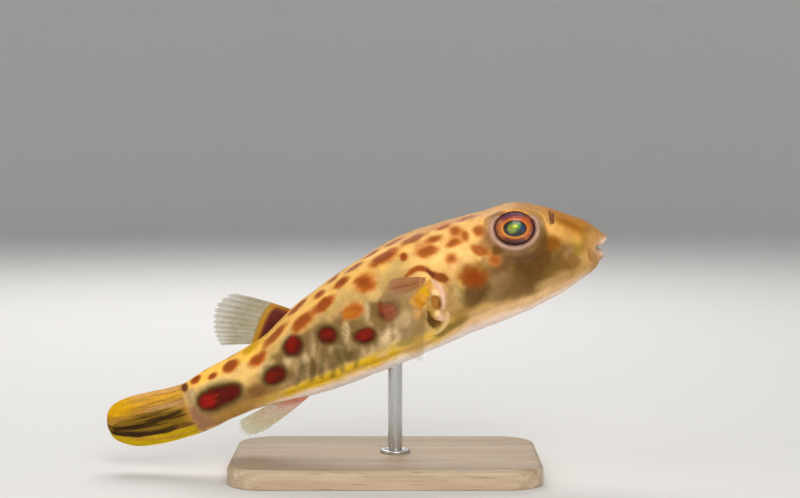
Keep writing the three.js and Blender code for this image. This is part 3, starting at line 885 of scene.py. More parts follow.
def ringed(distance, scale, strength=1.0):
    """A ringed spot from its distance field, which is 1 on the heart's border, where a millimetre is that
    scale."""
    uneven = distance + 0.08 * WOBBLE
    for colour, start, end, share in (("#6f5a30", 0.0, 2.6, 0.9), ("#452c0c", -0.5, 1.4, 0.95),
                                      ("#520b02", -1.0, 0.35, 1.0)):
        lay(colour, (1 - soft(uneven, 1 + start * scale, 1 + end * scale)) * share * strength)


for t, degrees, long, tall, tilt, side in spread(OCELLI, 31):
    ringed(oval(t, degrees, long, tall, tilt, side), 2.2 / (long + tall))
    lay("#7d1402", inside(oval(t, degrees + 1, 0.7 * long, 0.62 * tall, tilt, side), 1.1, 0.6) * 0.85)
for side in BOTH:
    ringed(1 - outline(LONG_SPOT, side) / 1.6, 0.42)
    ringed(oval(10.04, 0, 3.8, 3.0, 0, side), 0.34, 0.85)
for row, rough in ((("#5e0e03", 14.85, -6, 5.0, 2.4, 4, 0.9, 0.8), 0.45),
                   (("#8e1204", 15.42, -4, 3.9, 2.8, 4, 0.95, 1.0), 0.5),
                   # Painted highlight: a lighter red streak in the long spot's heart.
                   (("#8c3004", 15.2, -4, 2.2, 1.0, 4, 0.5, 0.8), 0.6),
                   (("#80300e", 10.04, 0, 4.0, 3.2, 0, 0.95, 0.8), 0.35)):
    dabs([row], rough)
print(len(OCELLI) + 2, "ringed spots on each flank")

# %% Rusty blotches of the flank and back
# Faint smudges join the nape's blotches; the upper back's are plum; and saddles cross the brow, head and
# back, where only a look from above finds them.
SMUDGES = [(7.9, 43, 4.6, 1.6, 0), (8.52, 50, 3.4, 2.2, 0), (8.74, 43, 2.6, 2.0, 0), (8.1, 67, 5.0, 1.8, 0)]
RUSTY = [
    (10.76, 18, 4.4, 3.3, 0), (10.2, 39, 5.0, 3.9, 0), (11.86, 37, 5.2, 2.9, 8), (11.3, 41, 5.4, 2.2, 6),
    (10.66, 55, 3.8, 2.2, 8), (11.34, 61, 2.6, 2.2, 6), (9.62, 54, 6.2, 3.1, 8),
    (13.5, 28, 4.4, 2.4, 3), (14.34, 44, 3.6, 2.7, 0), (15.01, 43, 2.2, 1.3, 0), (15.69, 64, 2.4, 1.7, 0),
    (7.23, 40, 2.6, 2.6, 0), (7.82, 50, 2.9, 2.7, 0), (8.38, 49, 3.8, 1.9, 0), (7.96, 37, 3.6, 1.7, 0),
    (7.62, 40, 1.8, 2.7, 0), (8.63, 37, 3.9, 2.5, 0), (8.13, 23, 2.7, 2.2, 0), (7.32, 21, 4.2, 1.6, -38),
    (7.05, 9, 3.0, 2.4, 0), (9.18, 43, 1.5, 1.9, 0), (8.05, 62, 3.0, 1.5, 6),
]
PLUM = [
    (12.63, 52, 6.0, 2.3, 10), (11.88, 72, 4.6, 2.5, 6), (9.28, 75, 4.2, 2.0, 0), (9.86, 78, 3.8, 2.2, 0),
    (10.36, 67, 4.0, 2.4, 0), (10.89, 75, 3.0, 2.2, 0), (8.8, 61, 5.0, 2.0, 6), (7.41, 66, 4.6, 1.8, 0),
]
SADDLES = [
    (5.2, 97, 3.4, 2.8), (5.5, 78, 3.0, 2.4), (6.1, 102, 2.6, 3.0), (6.35, 84, 3.6, 2.6),
    (6.95, 97, 2.6, 2.2), (7.6, 86, 3.0, 2.4), (8.3, 95, 3.0, 2.2), (8.9, 88, 2.4, 2.2),
    (9.55, 91, 2.8, 2.6), (10.15, 93, 1.8, 2.2), (10.7, 89, 2.8, 2.4), (11.45, 91, 2.4, 2.4),
    (14.2, 90, 3.0, 2.0), (15.2, 90, 2.4, 1.8),
]
for place in spread(SMUDGES, 34):
    lay("#bc6626", inside(oval(*place), 1.0, 0.5) * 0.5)
for t, degrees, long, tall, tilt, side in spread(RUSTY, 32):
    distance = oval(t, degrees, long, tall, tilt, side)
    strong = 0.7 + 0.3 * soft(t, 8.5, 9.1)  # the nape's blotches are fainter than the flank's
    lay("#d09048", (1 - soft(distance + 0.12 * WOBBLE, 0.75, 1.65)) * 0.6 * strong)
    lay("#b0581a", inside(distance, 1.0 - 0.3 * strong, 0.24) * 0.95 * strong)
    heart = oval(t, degrees, long * 0.7, tall * 0.7, tilt, side)
    lay("#8c3f0c", inside(heart, 0.9, 0.45) * 0.75 * strong)
dabs([("#c27612", 10.8, 17, 2.8, 1.9, 0, 0.7, 1.0)], 0.3)
for t, degrees, long, tall, tilt, side in spread(PLUM, 33):
    distance = oval(t, degrees, long, tall, tilt, side)
    lay("#c88644", (1 - soft(distance + 0.12 * WOBBLE, 0.85, 1.6)) * 0.6)
    lay("#b0652a", inside(distance, 0.65, 0.24) * 0.9)
    heart = oval(t, degrees, long * 0.65, tall * 0.65, tilt, side)
    lay("#934c1e", inside(heart, 0.9, 0.45) * 0.7)
for place in SADDLES:
    lay("#a86426", inside(oval(*place), 1.0, 0.4) * 0.7)
print(len(RUSTY) + len(PLUM), "blotches on each flank")

# %% Named marks: cheek spot with painted shade below it, arc over the gill, smudges, painted highlight streaks on the snout, painted shade in the creases, and the tail's root
ARC = [(9.34, 23), (9.16, 27), (8.97, 28), (8.82, 25), (8.72, 19), (8.6, 15), (8.46, 12), (8.38, 6),
       (8.5, 5), (8.68, 9), (8.77, 13), (8.85, 19), (9.03, 23), (9.2, 22)]
# The cheek spot. The dark patch below it, #543a18, is painted shade.
dabs([
    ("#543a18", 7.85, -14, 5.8, 5.4, 0, 0.9, 0.9), ("#8f4c0c", 7.75, 0, 5.4, 4.8, 0, 0.85, 1.0),
    ("#843600", 7.75, -1, 3.8, 3.3, 0, 0.9, 1.2),
])
for side in BOTH:
    depth = outline(ARC, side) - 0.12 * WOBBLE
    lay("#94420f", soft(depth, -0.35, 0.25) * 0.95)
    dark = soft(depth, -0.2, 0.3)
    lay("#581e05", dark * inside(oval(8.76, 16, 1.7, 2.4, 0, side), 1.0) * 0.9)
    lay("#7d4210", dark * inside(oval(8.5, 9, 2.6, 2.6, 0, side), 1.0) * 0.8)
dabs([
    ("#8a7a34", 10.0, -36, 3.6, 1.6, 0, 0.7, 0.9), ("#d8a20e", 13.64, 66, 3.6, 2.6, 0, 0.9, 0.9),
    ("#5a2a0a", 16.36, 56, 1.7, 2.3, 20, 0.9, 0.8), ("#4c1810", 16.22, -84, 1.0, 1.0, 0, 0.9, 0.8),
])
# Painted highlight: two pale streaks down the snout in front of the eye.
stroke("#f0b45e", [(5.25, 52), (5.0, 42), (4.7, 33), (4.3, 27), (3.9, 22)], 0.7, 0.6, 2.2)
stroke("#f6c070", [(5.1, 48), (4.95, 40)], 0.6, 0.3, 1.4)
stroke("#7d6420", [(9.12, -44), (8.86, -41), (8.6, -39), (8.32, -37)], 0.3, 0.8, 1.5)
# Painted shade: a dark line along the crease behind the mouth's corners.
stroke("#7a561c", [(3.2, 2), (3.08, -10), (3.02, -24)], 0.3, 0.7, 0.7)
# Painted shade: a dark line along each upright crease of the flank.
for crease in CREASES:
    stroke("#5f4f2a", crease, 0.2, 0.5, 0.7)
print("marks laid")

# %% Lips, mouth, eye rings and gills, with their painted shade and painted highlights
front_lip = np.abs(over)  # the lips are palest in front, where this is 1, and brown at the mouth's corners
lay("#c9955a", (1 - soft(LIP, 2.2, 3.4)) * 0.6)
lay("#c49a70", window(LIP, 1.0, 2.05, 0.5) * 0.9)
lay("#edc9b2", window(LIP, 1.1, 1.62, 0.2) * (0.2 + 0.75 * soft(front_lip, 0.3, 0.8)))
lay("#8a5c30", window(LIP, 0.8, 1.45, 0.3) * (1 - soft(front_lip, 0.1, 0.5)) * 0.85)
lay("#7a3a22", 1 - soft(LIP, 0.75, 1.1))
# Painted shade: the throat deep in the mouth is nearly black.
lay("#2c0f0a", 1 - soft(LIP, 0.35, 0.8))

ahead_of_eye, above_eye = skin_grid[..., 0] - EYE[0], skin_grid[..., 2] - EYE[2]
overhead = soft(np.degrees(np.arctan2(above_eye, np.abs(ahead_of_eye))), 20, 70)
ring = window(eye_beyond, -0.05, RING * (1.0 - 0.35 * overhead), 0.3)
# Painted shade: a dark band just outside the raised ring, faded out over its top, and two dark patches of
# painted shadow below the ring, behind and ahead.
lay("#80603e", window(eye_beyond, RING, RING * 1.9, 0.7) * 0.6 * (1 - overhead))
dabs([("#5e3606", 6.86, 18, 2.6, 2.0, 20, 0.75, 1.1), ("#5c3808", 5.32, 18, 2.0, 4.0, -20, 0.6, 1.1)])
lay("#a07c66", ring * (0.95 - 0.35 * overhead))
# Painted highlight along the ring's crest, fainter over its top.
lay("#c3a08a", window(eye_beyond, 0.4, 0.8, 0.25) * (0.8 - 0.5 * overhead))
# Painted shade at the ring's inner edge, where the skin turns in under the cornea, and nearly black in the
# opening, where the skin dives behind the ball.
lay("#7d5a5c", window(eye_beyond, -0.05, 0.25, 0.15) * 0.8)
lay("#2a120c", (eye_share < 1) * soft(1 - eye_share, 0.0, 0.06))

dabs([("#d09a52", 9.32, -14, 3.0, 4.0, 0, 0.75, 1.0)])
lay("#dcb09a", soft(gill_rim, 0.35, 0.95) * 0.9)
lay("#dab98a", soft(low_rim, 0.3, 0.9) * 0.85)
# Painted highlights on the gill opening's two cream lumps, #f4cf98 and #f2cf92, and painted shadow as the
# brown patch #9a7028 behind the upper hollow.
dabs([
    ("#f4cf98", 8.8, -2.5, 1.4, 1.9, 0, 0.9, 0.7), ("#f2cf92", 8.98, -21.5, 1.9, 1.3, 0, 0.9, 0.7),
    ("#dcb09a", 8.9, -27, 2.0, 1.7, 0, 0.8, 0.8), ("#9a7028", 9.1, -17, 1.8, 3.8, 0, 0.7, 1.1),
])
# Painted shade: the gill openings' hollows are brown, the lower one darker, and darker still in their
# depths.
lay("#a0692a", soft(upper_hollow, 0.1, 0.75) * 0.95)
lay("#6e4c16", soft(lower_hollow, 0.1, 0.75) * 0.95)
dabs([("#6b4314", 8.79, -16.5, 1.1, 1.5, 0, 0.8, 1.0)], where=soft(upper_hollow, 0.3, 0.8))
dabs([("#56390e", 9.2, -30, 1.4, 3.4, 0, 0.8, 1.0)], where=soft(lower_hollow, 0.3, 0.8))
lay("#cc9030", soft(lobe, 0.0, 0.8))
dabs([("#b97208", 9.24, -5, 1.4, 4.2, 30, 0.85, 0.7)], 0.5, soft(lobe, 0.2, 0.8))
dabs([("#cb9c04", 9.0, 1, 2.0, 4.4, 28, 0.95, 0.6)], 0.6, soft(lobe, 0.2, 0.8))
print("eye rings laid on", int((ring > 0.5).sum()), "points")

# %% The tail fin
# Yellow lobes above and below, dark streaks that run together towards the hind edge.
fin_start = soft(STATION - 0.06 * UPWARD, 16.45, 16.72)
streaks = ripple(np.stack([UPWARD * 13, STATION * 0.9, SIDE * 3.0], -1), 1.0, 51)
fine = ripple(np.stack([UPWARD * 30, STATION * 1.2, SIDE * 3.0], -1), 1.0, 52)
slope = HEIGHT + 5 * streaks
wedge_top = np.interp(STATION, [16.6, 17.2, 17.9, 18.6, 19.4, 20.6, 21.6], [4, 4, 7, 8, 3, -10, -24])
wedge_foot = np.interp(STATION, [16.6, 17.3, 17.8, 18.6, 19.6, 20.6, 21.6],
                       [-38, -36, -38, -37, -38, -42, -40])
wedge = window(slope, wedge_foot, wedge_top, 8) * soft(STATION, 16.5, 17.1)
low_lobe = 1 - soft(slope, -52, -40)
for colour, mask in (
    ("#ab7c2e", 1.0),
    ("#cf9c56", soft(slope, 46, 62) * (1 - soft(STATION, 18.8, 20.2))),
    ("#cf9a2e", window(slope, 28, 50, 10) * (1 - soft(STATION, 19.4, 20.6))),
    ("#d3a006", soft(STATION, 18.2, 20.0) * soft(slope, 8, 26)),
    ("#b98f66", window(slope, 8, 20, 8) * window(STATION, 16.6, 18.4, 0.6) * 0.7),
    ("#a88c02", low_lobe),
    ("#c39c08", low_lobe * soft(fine, 0.0, 0.8) * 0.7),
    ("#76590e", wedge * 0.9),
    ("#3f2a06", wedge * soft(streaks + 0.9 * fine + 0.9 * soft(STATION, 17.6, 20.6), 0.35, 1.3) * 0.9),
):
    lay(colour, fin_start * mask)
stroke("#2b1a02", [(17.0, -6), (17.62, -10), (18.33, -14), (19.08, -16), (20.3, -26)], 0.32, 0.85)
stroke("#2c1a03", [(17.3, -33), (17.75, -35), (18.56, -35), (19.58, -35), (20.6, -42)], 0.32, 0.85, 0.45)
stroke("#5a3a0c", [(16.6, -37), (17.0, -34), (17.4, -33)], 0.3, 0.8, 0.4)
lay("#8a5c24", fin_start * soft(fine, 0.55, 1.0) * window(slope, 8, 70, 10) * 0.45)
lay("#f0dfb4", fin_start * (1 - soft(HEIGHT, -79, -72)) * (1 - soft(STATION, 18.0, 19.2)))
print("skin painted")

# %% [markdown]
# ## The skin's finish
#
# Live skin lets a little light in, which blurs small shadows, and it carries a thin coat of slime. So the
# finish has some subsurface scattering, a soft main gloss and a thinner, sharper coat. The painted
# colours get a fine mottling and tiny dark pigment cells, because flat paint looks like plastic.

# %% The skin's material
CELL = 0.42  # between pigment cells


def skin_finish():
    """Stored paint, mottled by noise of two sizes and peppered with pigment cells; pores as bump."""
    finish = Finish("puffer_skin")
    cloudy = finish.between(finish.noise(1.6, 4.0), 0.3, 0.7, 0.9, 1.1)
    grainy = finish.between(finish.noise(0.35, 3.0, 0.7), 0.25, 0.75, 0.86, 1.14)
    mottled = finish.mix(1.0, finish.stored("paint"), finish.maths(MULTIPLY, cloudy, grainy), MULTIPLY)
    pattern = finish.node("TexVoronoi", {"Vector": finish.place(), "Scale": 1 / (CELL * MM)})
    cells = pattern.outputs["Distance"]
    pepper = finish.between(cells, 0.16, 0.3, 1.0, 0.0)
    patchy = finish.between(finish.noise(3.0, 2.0), 0.45, 0.65, 0.0, 1.0)
    share = finish.maths(MULTIPLY, finish.maths(MULTIPLY, pepper, patchy), finish.stored("pepper", "Fac"))
    pores = finish.raised(finish.noise(0.3, 2.0), 0.05)
    return finish.done({
        "Base Color": finish.mix(share, mottled, (0.16, 0.09, 0.04, 1)),
        "Roughness": finish.between(finish.noise(0.9, 3.0), 0.3, 0.7, 0.48, 0.62),
        "Normal": finish.raised(finish.between(cells, 0.0, 0.6, 1.0, 0.0), 0.035, pores),
        "IOR": 1.38, "Coat Weight": 0.05, "Coat Roughness": 0.2, "Specular IOR Level": 0.18,
        "Subsurface Weight": 0.05, "Subsurface Scale": 0.001, "Subsurface Radius": (1.0, 0.45, 0.25),
    })


skin_material = skin_finish()
print("skin finish has", len(skin_material.node_tree.nodes), "nodes")

# %% One skin for the whole body
ends = [mouth_rows[0].mean(0), on_body(float(LAST), 0.0)]  # in the throat, and at the tail's hind edge
skin = closed_piece("skin", skin_grid, skin_material,
                    ["head", "lower_jaw", "trunk", "tail_stem", "caudal_fin"], ends)
run = np.cumsum(np.linalg.norm(np.diff(smooth_skin, axis=0), axis=-1).mean(1))
down_skin = np.concatenate([[0.0], run]) / run[-1]
unwrap = np.broadcast_arrays(np.arange(ROUND)[None, :] / ROUND, 0.005 + 0.99 * down_skin[:, None])
add_unwrap(skin.data, np.vstack([np.stack(unwrap, -1).reshape(-1, 2), [[0.5, 0.0], [0.5, 1.0]]]))
colour_on_points(skin, "paint", with_ends(PAINT))
pepper = 0.45 * soft(HEIGHT, -45, -10) * (1 - 0.6 * tail_share) * soft(STATION, 2.2, 3.4)
number_on_points(skin, "pepper", np.append(pepper.ravel(), [0, 0]))

# %% [markdown]
# ## The eyes
#
# An eye shows depth: a clear domed cornea, a coloured iris a little behind it, and the pupil behind that.
# One painted ball would look flat, so the eye is two surfaces. The inner one is the iris and pupil,
# painted on a fine round grid. The outer one is the clear cornea, which only gives gloss. The iris is
# orange with a bright gold edge at the pupil and dark red below. Over its top is painted purple, as the
# shade of the skin above the eye and the cornea's purple reflection, with a pinkish painted highlight.
# Over the pupil is a painted reflection: an olive glow and a green, yellow and blue sheen.

# %% The eyeball's grid
BALL_ROWS, BALL_ROUND = 110, 144
PUPIL = (2.4, 1.68)  # half width and half height
IRIS_GAP = 0.12  # from the iris's ball to the cornea
IRIS_DISH, PUPIL_DISH = 0.42, 0.3  # how deep they lie


def eyeball(side, grow=0.0):
    """An ellipsoid's points, from its middle. Its pole is the middle of the pupil, where the rows are
    closest."""
    tilt = math.pi * np.linspace(0, 1, BALL_ROWS + 2)[1:-1] ** 1.25
    turn = np.linspace(0, 2 * math.pi, BALL_ROUND, endpoint=False)
    flat_x, flat_z = np.outer(np.sin(tilt), np.cos(turn)), np.outer(np.sin(tilt), np.sin(turn))
    depth = np.outer(side * np.cos(tilt), np.ones(BALL_ROUND))
    return np.stack([flat_x, depth, flat_z], -1) * (EYE_REACH + grow)


def seen_oval(offset, half, middle=(0, 0)):
    """How far each point lies from an oval's middle as seen from the side, 1 on its edge."""
    return np.hypot((offset[..., 0] - middle[0]) / half[0], (offset[..., 2] - middle[1]) / half[1])


def dished(offset, side):
    """The ball with its outer half sunk to a shallow dish for the iris, and deeper for the pupil."""
    iris = 1 - soft(seen_oval(offset, OPENING), 0.75, 1.05)
    hole = 1 - soft(seen_oval(offset, PUPIL), 0.92, 1.04)
    sunk = offset.copy()
    sunk[..., 1] -= side * (IRIS_DISH * iris + PUPIL_DISH * hole) * (side * offset[..., 1] > 0)
    return sunk


print("the ball's grid has", BALL_ROWS * BALL_ROUND, "points")

# %% The eye's paint and finishes
# Painted reflection: the green, yellow and blue glints that the cornea shows over the pupil.
SHEEN = [
    # a colour, its oval's middle, half width and half height, where it starts and ends to fade, its strength
    ("#8a9a1e", -0.7, -0.1, 1.0, 1.2, 0.4, 1.2, 0.75), ("#3f9a2c", 0.75, 0.5, 0.75, 0.8, 0.3, 1.1, 0.9),
    ("#16407a", 1.5, 0.15, 0.55, 0.8, 0.3, 1.2, 0.85), ("#d8e02c", 0.05, 0.45, 0.75, 0.5, 0.2, 1.2, 0.9),
    ("#f2f08a", 0.1, 0.5, 0.4, 0.22, 0.2, 1.3, 0.6),
]


def eye_paint(offset, side):
    """Iris and pupil colours by the distance from the pupil and by the direction from the eye's middle."""
    x, z = offset[..., 0], offset[..., 2]
    turn = np.degrees(np.arctan2(z, x))
    share, pupil = seen_oval(offset, OPENING), seen_oval(offset, PUPIL)
    streak = ripple(np.stack([turn / 9, share * 2, 0 * x], -1), 1.0, 41)
    blotch = ripple(np.stack([x, 0 * x, z], -1), 1.1, 42)
    beyond_glow = soft(seen_oval(offset, (1.9, 1.25), (-0.1, 0.25)) + 0.12 * blotch, 0.45, 1.05)
    sheen = [
        (colour, (1 - soft(seen_oval(offset, (wide, tall), (ahead, up)), start, end)) * strength)
        for colour, ahead, up, wide, tall, start, end, strength in SHEEN
    ]
    return painted(x, "#b0560a", [
        ("#7c340a", soft(share + 0.08 * streak, 0.74, 0.97) * 0.85),
        ("#d5700f", window(pupil + 0.1 * streak, 1.0, 1.45, 0.3) * 0.8),
        ("#c9521c", window(turn + 8 * blotch, 25, 80, 30) * window(share, 0.45, 1.0, 0.2) * 0.8),
        # Painted shade and reflection over the iris's top: purple for the shade of the skin above the eye
        # and the cornea's purple reflection, with a pinkish painted highlight.
        ("#7a2a3a", window(turn, 70, 150, 40) * soft(share, 0.5, 0.75) * 0.85),
        ("#4a1f50", window(turn, 50, 145, 40) * soft(share, 0.7, 0.88) * 0.95),
        ("#c46a62", window(turn, 60, 110, 30) * window(share, 0.55, 0.72, 0.12) * 0.6),
        ("#520e04", window(-turn + 6 * blotch, 52, 135, 34) * soft(share, 0.56, 0.78) * 0.95),
        ("#330804", window(-turn, 55, 135, 40) * soft(share, 0.8, 0.93) * 0.85),
        ("#3c1440", window(np.abs(turn), 0, 30, 20) * soft(share, 0.8, 0.95) * 0.8),
        ("#9a5a20", window(np.abs(turn), 150, 180, 40) * soft(share, 0.7, 0.9) * 0.7),
        ("#e58a1a", window(pupil, 1.0, 1.2, 0.1) * (0.45 + 0.5 * soft(-z - 0.3 * x, -1.5, 1.5))),
        ("#f7a83a", window(pupil, 1.02, 1.13, 0.06) * soft(-z - 0.4 * x, 0, 1.6) * 0.9),
        ("#0c0d12", 1 - soft(pupil, 0.93, 1.02)),
        # Painted reflection over the pupil: an olive glow, then the sheen's colours.
        ("#55701a", (1 - beyond_glow) * 0.95),
        *sheen,
        ("#0a0a10", (1 - soft(pupil, 0.95, 1.0)) * soft(pupil, 0.82, 0.97) * 0.8),
        ("#1a0e0a", side * offset[..., 1] < 0.15 * (EYE_REACH[1] - IRIS_GAP)),
    ])


def iris_finish():
    """Painted colours under a wet gloss."""
    finish = Finish("iris")
    return finish.done({"Base Color": finish.stored("paint"), "Roughness": 0.35, "Coat Weight": 0.3})


def cornea_finish():
    """Clear: light passes straight through, and a share that grows at grazing angles is mirrored."""
    finish = Finish("cornea")
    clear = finish.node("BsdfTransparent").outputs[0]
    gloss = finish.node("BsdfGlossy", {"Roughness": 0.03}).outputs[0]
    share = finish.node("Fresnel", {"IOR": 1.38}).outputs[0]
    both = finish.node("MixShader", {0: share, 1: clear, 2: gloss}).outputs[0]
    finish.tree.nodes.remove(finish.shader)
    finish.feed(finish.tree.nodes["Material Output"], {"Surface": both})
    return finish.material


iris_material, cornea_material = iris_finish(), cornea_finish()
print("the pupil has", len(SHEEN) + 1, "colours of sheen")

# %% Both eyes
for side, word in SIDES:
    middle = EYE * [1, -side, 1]
    ball = eyeball(side, -IRIS_GAP)
    iris = closed_piece("iris_" + word, middle + dished(ball, side), iris_material, ["eye_" + word])
    colour_on_points(iris, "paint", with_ends(eye_paint(ball, side)))
    closed_piece("cornea_" + word, middle + eyeball(side), cornea_material)

# %% [markdown]
# ## The fins
#
# A fin is a skin far thinner than paper, stretched over soft rays that fork towards the edge. It could be
# a flat card with a picture of rays, but then it would have no thickness and no edge. Here each fin is a
# thin closed slab whose two faces swell over every ray, with an edge that dips between the rays. The
# share of ray is stored on the points, so that the finish can make the rays pale and firm and the skin
# between them see-through.

# %% Rays and slabs
FIN_COLUMNS, FIN_ROWS = 170, 64
FORK = 0.45  # where the rays branch, as a share of the way out
TIP_THICK, RAY_THICK = 0.14, 0.16


def heading(degrees, out=0.0):
    """A direction seen from the side: 0 is ahead, 90 up and 180 back. Out is its sideways share."""
    angle = np.radians(degrees)
    return unit(np.stack([np.cos(angle), np.broadcast_to(out, angle.shape), np.sin(angle)], -1))


def ray_share(u, v, count):
    """1 on a ray's middle line and 0 between rays. Beyond the fork each ray is two that part slowly."""
    place = u * count - 0.5
    return bump(np.abs(place - np.round(place)), 0.25 * soft(v, FORK, 1.35), 0.17 - 0.07 * v)


def fin_slab(root, ray, bend, count, root_thick=1.5, fleshy=0.3):
    """Both faces of a fin over u, from its front edge to its hind one, and v, from root to tip. Its middle
    surface is root + v * ray + v squared * bend, and its edge dips a little between the rays."""
    u, v = np.meshgrid(np.linspace(0, 1, FIN_COLUMNS), np.linspace(0, 1, FIN_ROWS), indexing="ij")
    share = ray_share(u, v, count)
    reach = v * (1 - 0.045 * soft(v, 0.5, 1.0) * (1 - share))
    middle = root(u) + reach[..., None] * ray(u) + (reach**2)[..., None] * bend(u)
    normal = unit(np.cross(np.gradient(middle, axis=0), np.gradient(middle, axis=1)))
    flesh = root_thick * np.clip(1 - v / fleshy, 0, 1) ** 1.6
    edge = soft(np.minimum(u, 1 - u), 0, 0.02) * 0.8 + 0.2
    thick = (TIP_THICK * (0.5 + 0.5 * (1 - v)) + RAY_THICK * share * (1 - 0.55 * v) + flesh) * edge
    half = normal * (thick / 2)[..., None]
    return (middle + half, middle - half), u, v, share


def fin_finish():
    """Painted colour, see-through by the amount stored on the points, with a fine grain."""
    finish = Finish("fin_skin")
    grain = finish.between(finish.noise(0.5), 0.3, 0.7, 0.9, 1.1)
    cloudy = finish.between(finish.noise(1.2), 0.3, 0.7, 0.85, 1.1)
    return finish.done({
        "Base Color": finish.mix(1.0, finish.stored("paint"), grain, MULTIPLY),
        "Alpha": finish.maths(MULTIPLY, finish.stored("cover", "Fac"), cloudy),
        "Roughness": 0.3, "IOR": 1.38, "Normal": finish.raised(finish.noise(0.4, 2.0), 0.02),
    })


fin_material = fin_finish()


def new_fin(name, node_name, slab, paint, cover):
    """A fin's piece, with its colours and how much it covers. Its two faces are joined by a strip all round
    their border."""
    index = np.arange(cover.size).reshape(cover.shape)
    other = cover.size  # the back's points come after the front's
    border = np.concatenate([index[:, 0], index[-1, 1:], index[-2::-1, -1], index[0, -2:0:-1]])
    following = np.roll(border, -1)
    strip = np.stack([border, border + other, following + other, following], -1)
    front = grid_faces(*cover.shape, closed=False)
    points = np.concatenate(slab).reshape(-1, 3)
    faces = np.vstack([front, front[:, ::-1] + other, strip])
    piece = new_piece(name, points, faces, fin_material, [node_name])
    colour_on_points(piece, "paint", np.tile(paint.reshape(-1, 3), (2, 1)))
    number_on_points(piece, "cover", np.tile(cover.ravel(), 2))


print("each fin has", 2 * FIN_COLUMNS * FIN_ROWS, "points")

# %% Dorsal and anal fins


def lobe_share(u, shorten):
    """The share of its full reach that each ray has: a rounded front corner and short hind rays."""
    return 0.84 + 0.16 * np.sin(math.pi / 2 * np.clip(u / 0.3, 0, 1)) - shorten * u**1.8


def midline_fin(start, end, height, first, last, reach, shorten, curl, count):
    """A fin that fans out along the back or the belly, its root sunk one millimetre in the flesh. Its rays
    head from the first direction to the last, and curl turns their ends."""
    return fin_slab(
        root=lambda u: on_body(start + (end - start) * u, np.full(u.shape, math.radians(height)), -1.0),
        ray=lambda u: heading(first + (last - first) * u) * (reach * lobe_share(u, shorten) + 1)[..., None],
        bend=lambda u: heading(first + (last - first) * u + curl) * (2.2 * (1 - 0.6 * u))[..., None],
        count=count,
    )


slab, u, v, share = midline_fin(start=12.0, end=13.3, height=90, first=158, last=178, reach=13, shorten=0.5,
                                curl=40, count=11)
patch = v - 0.44 + 0.17 * u  # the patch is deepest in front, and this is 0 on its outer edge
paint = painted(u, "#7d6d30", [
    ("#b3a15a", share * (1 - v) * 0.8),
    ("#a9790c", 1 - soft(patch, -0.08, 0.02)),
    ("#5a1806", (1 - soft(patch, -0.17, -0.09)) * window(u, 0.06, 1.0, 0.16)),
    ("#420604", (1 - soft(patch, -0.24, -0.12)) * window(u, 0.3, 1.1, 0.3) * 0.8),
])
veil = 0.48 + 0.3 * share * (1 - 0.6 * v) - 0.24 * soft(v, 0.6, 1.0)
new_fin("dorsal_fin_skin", "dorsal_fin", slab, paint, np.maximum(1 - soft(patch, -0.08, 0.05), veil))

slab, u, v, share = midline_fin(start=12.45, end=13.45, height=-90, first=225, last=213, reach=14,
                                shorten=0.42, curl=-45, count=10)
paint = painted(u, "#b29664", [
    ("#d6c090", share * (1 - v) * 0.6),
    ("#a39a3c", soft(v, 0.6, 1.0) * 0.8),
    ("#d0a878", (1 - soft(v, 0.1, 0.25)) * 0.5),
    ("#c97c68", (1 - soft(v, 0.25, 0.55)) * (1 - soft(u, 0.4, 0.9)) * 0.85),
])
veil = 0.5 + 0.2 * share * (1 - 0.5 * v) - 0.2 * soft(v, 0.6, 1.0)
new_fin("anal_fin_skin", "anal_fin", slab, paint, np.maximum(1 - soft(v, 0.16, 0.5), veil))

# %% Pectoral fins
FIN_ROOT = np.array([(8.89, 16), (9.3, -22)])  # the station and degrees of its top and its foot


def side_fin(side, first, last, out, reach):
    """A fin that fans out behind the gill opening from an upright root on the flank."""

    def root(u):
        t, degrees = np.moveaxis(FIN_ROOT[0] + (FIN_ROOT[1] - FIN_ROOT[0]) * u[..., None], -1, 0)
        return flank(t, degrees, side, -0.5)

    def ray(u):
        span = 0.84 + 0.16 * np.sin(math.pi * (0.12 + 0.76 * u)) - 0.24 * np.clip(1 - u / 0.3, 0, 1) ** 2
        return heading(first + (last - first) * u, side * out) * (reach * span)[..., None]

    def bend(u):
        return np.stack([np.full(u.shape, -0.4), np.full(u.shape, side * -1.6), -0.4 * u], -1)

    return fin_slab(root, ray, bend, count=18, root_thick=0.9, fleshy=0.22)


for side, word, fan in ((RIGHT, "right", (181, 270, 0.62, 11.2)), (LEFT, "left", (187, 262, 0.7, 11.4))):
    slab, u, v, share = side_fin(side, *fan)
    upper, foot_part = 1 - soft(u + 0.1 * v, 0.15, 0.36), window(u, 0.68, 0.99, 0.12)
    thread = ripple(np.stack([u * 40, v * 1.5, 0 * u], -1), 1.0, 61)
    paint = painted(u, "#e2cb9c", [
        ("#a4633a", upper),
        ("#7d4020", upper * soft(thread, 0.1, 0.9) * 0.4),
        ("#c58a60", upper * share * 0.4),
        ("#a8824a", foot_part),
        ("#d69a2a", (1 - soft(v, 0.08, 0.3)) * window(u, 0.2, 0.65, 0.2)),
    ])
    hind = 1 - soft(u, 0.9, 1.0)
    cover = np.maximum.reduce([
        (0.04 + 0.05 * share * (1 - 0.5 * v)) * hind * (1 - 0.5 * soft(v, 0.7, 1.0)),
        upper * (0.62 - 0.25 * soft(v, 0.6, 1.0)) * (0.85 + 0.2 * thread),
        foot_part * (0.34 - 0.2 * soft(v, 0.5, 1.0)),
        (1 - soft(v, 0.04, 0.22)) * hind,
    ])
    new_fin("pectoral_fin_skin_" + word, "pectoral_fin_" + word, slab, paint, cover)

# %% [markdown]
# ## The nostrils
#
# This kind of puffer has no nostril holes. On each side of the snout stands a small fleshy flap that
# forks into two leaves. Each leaf is a flattened tube that widens and then closes to a round tip.

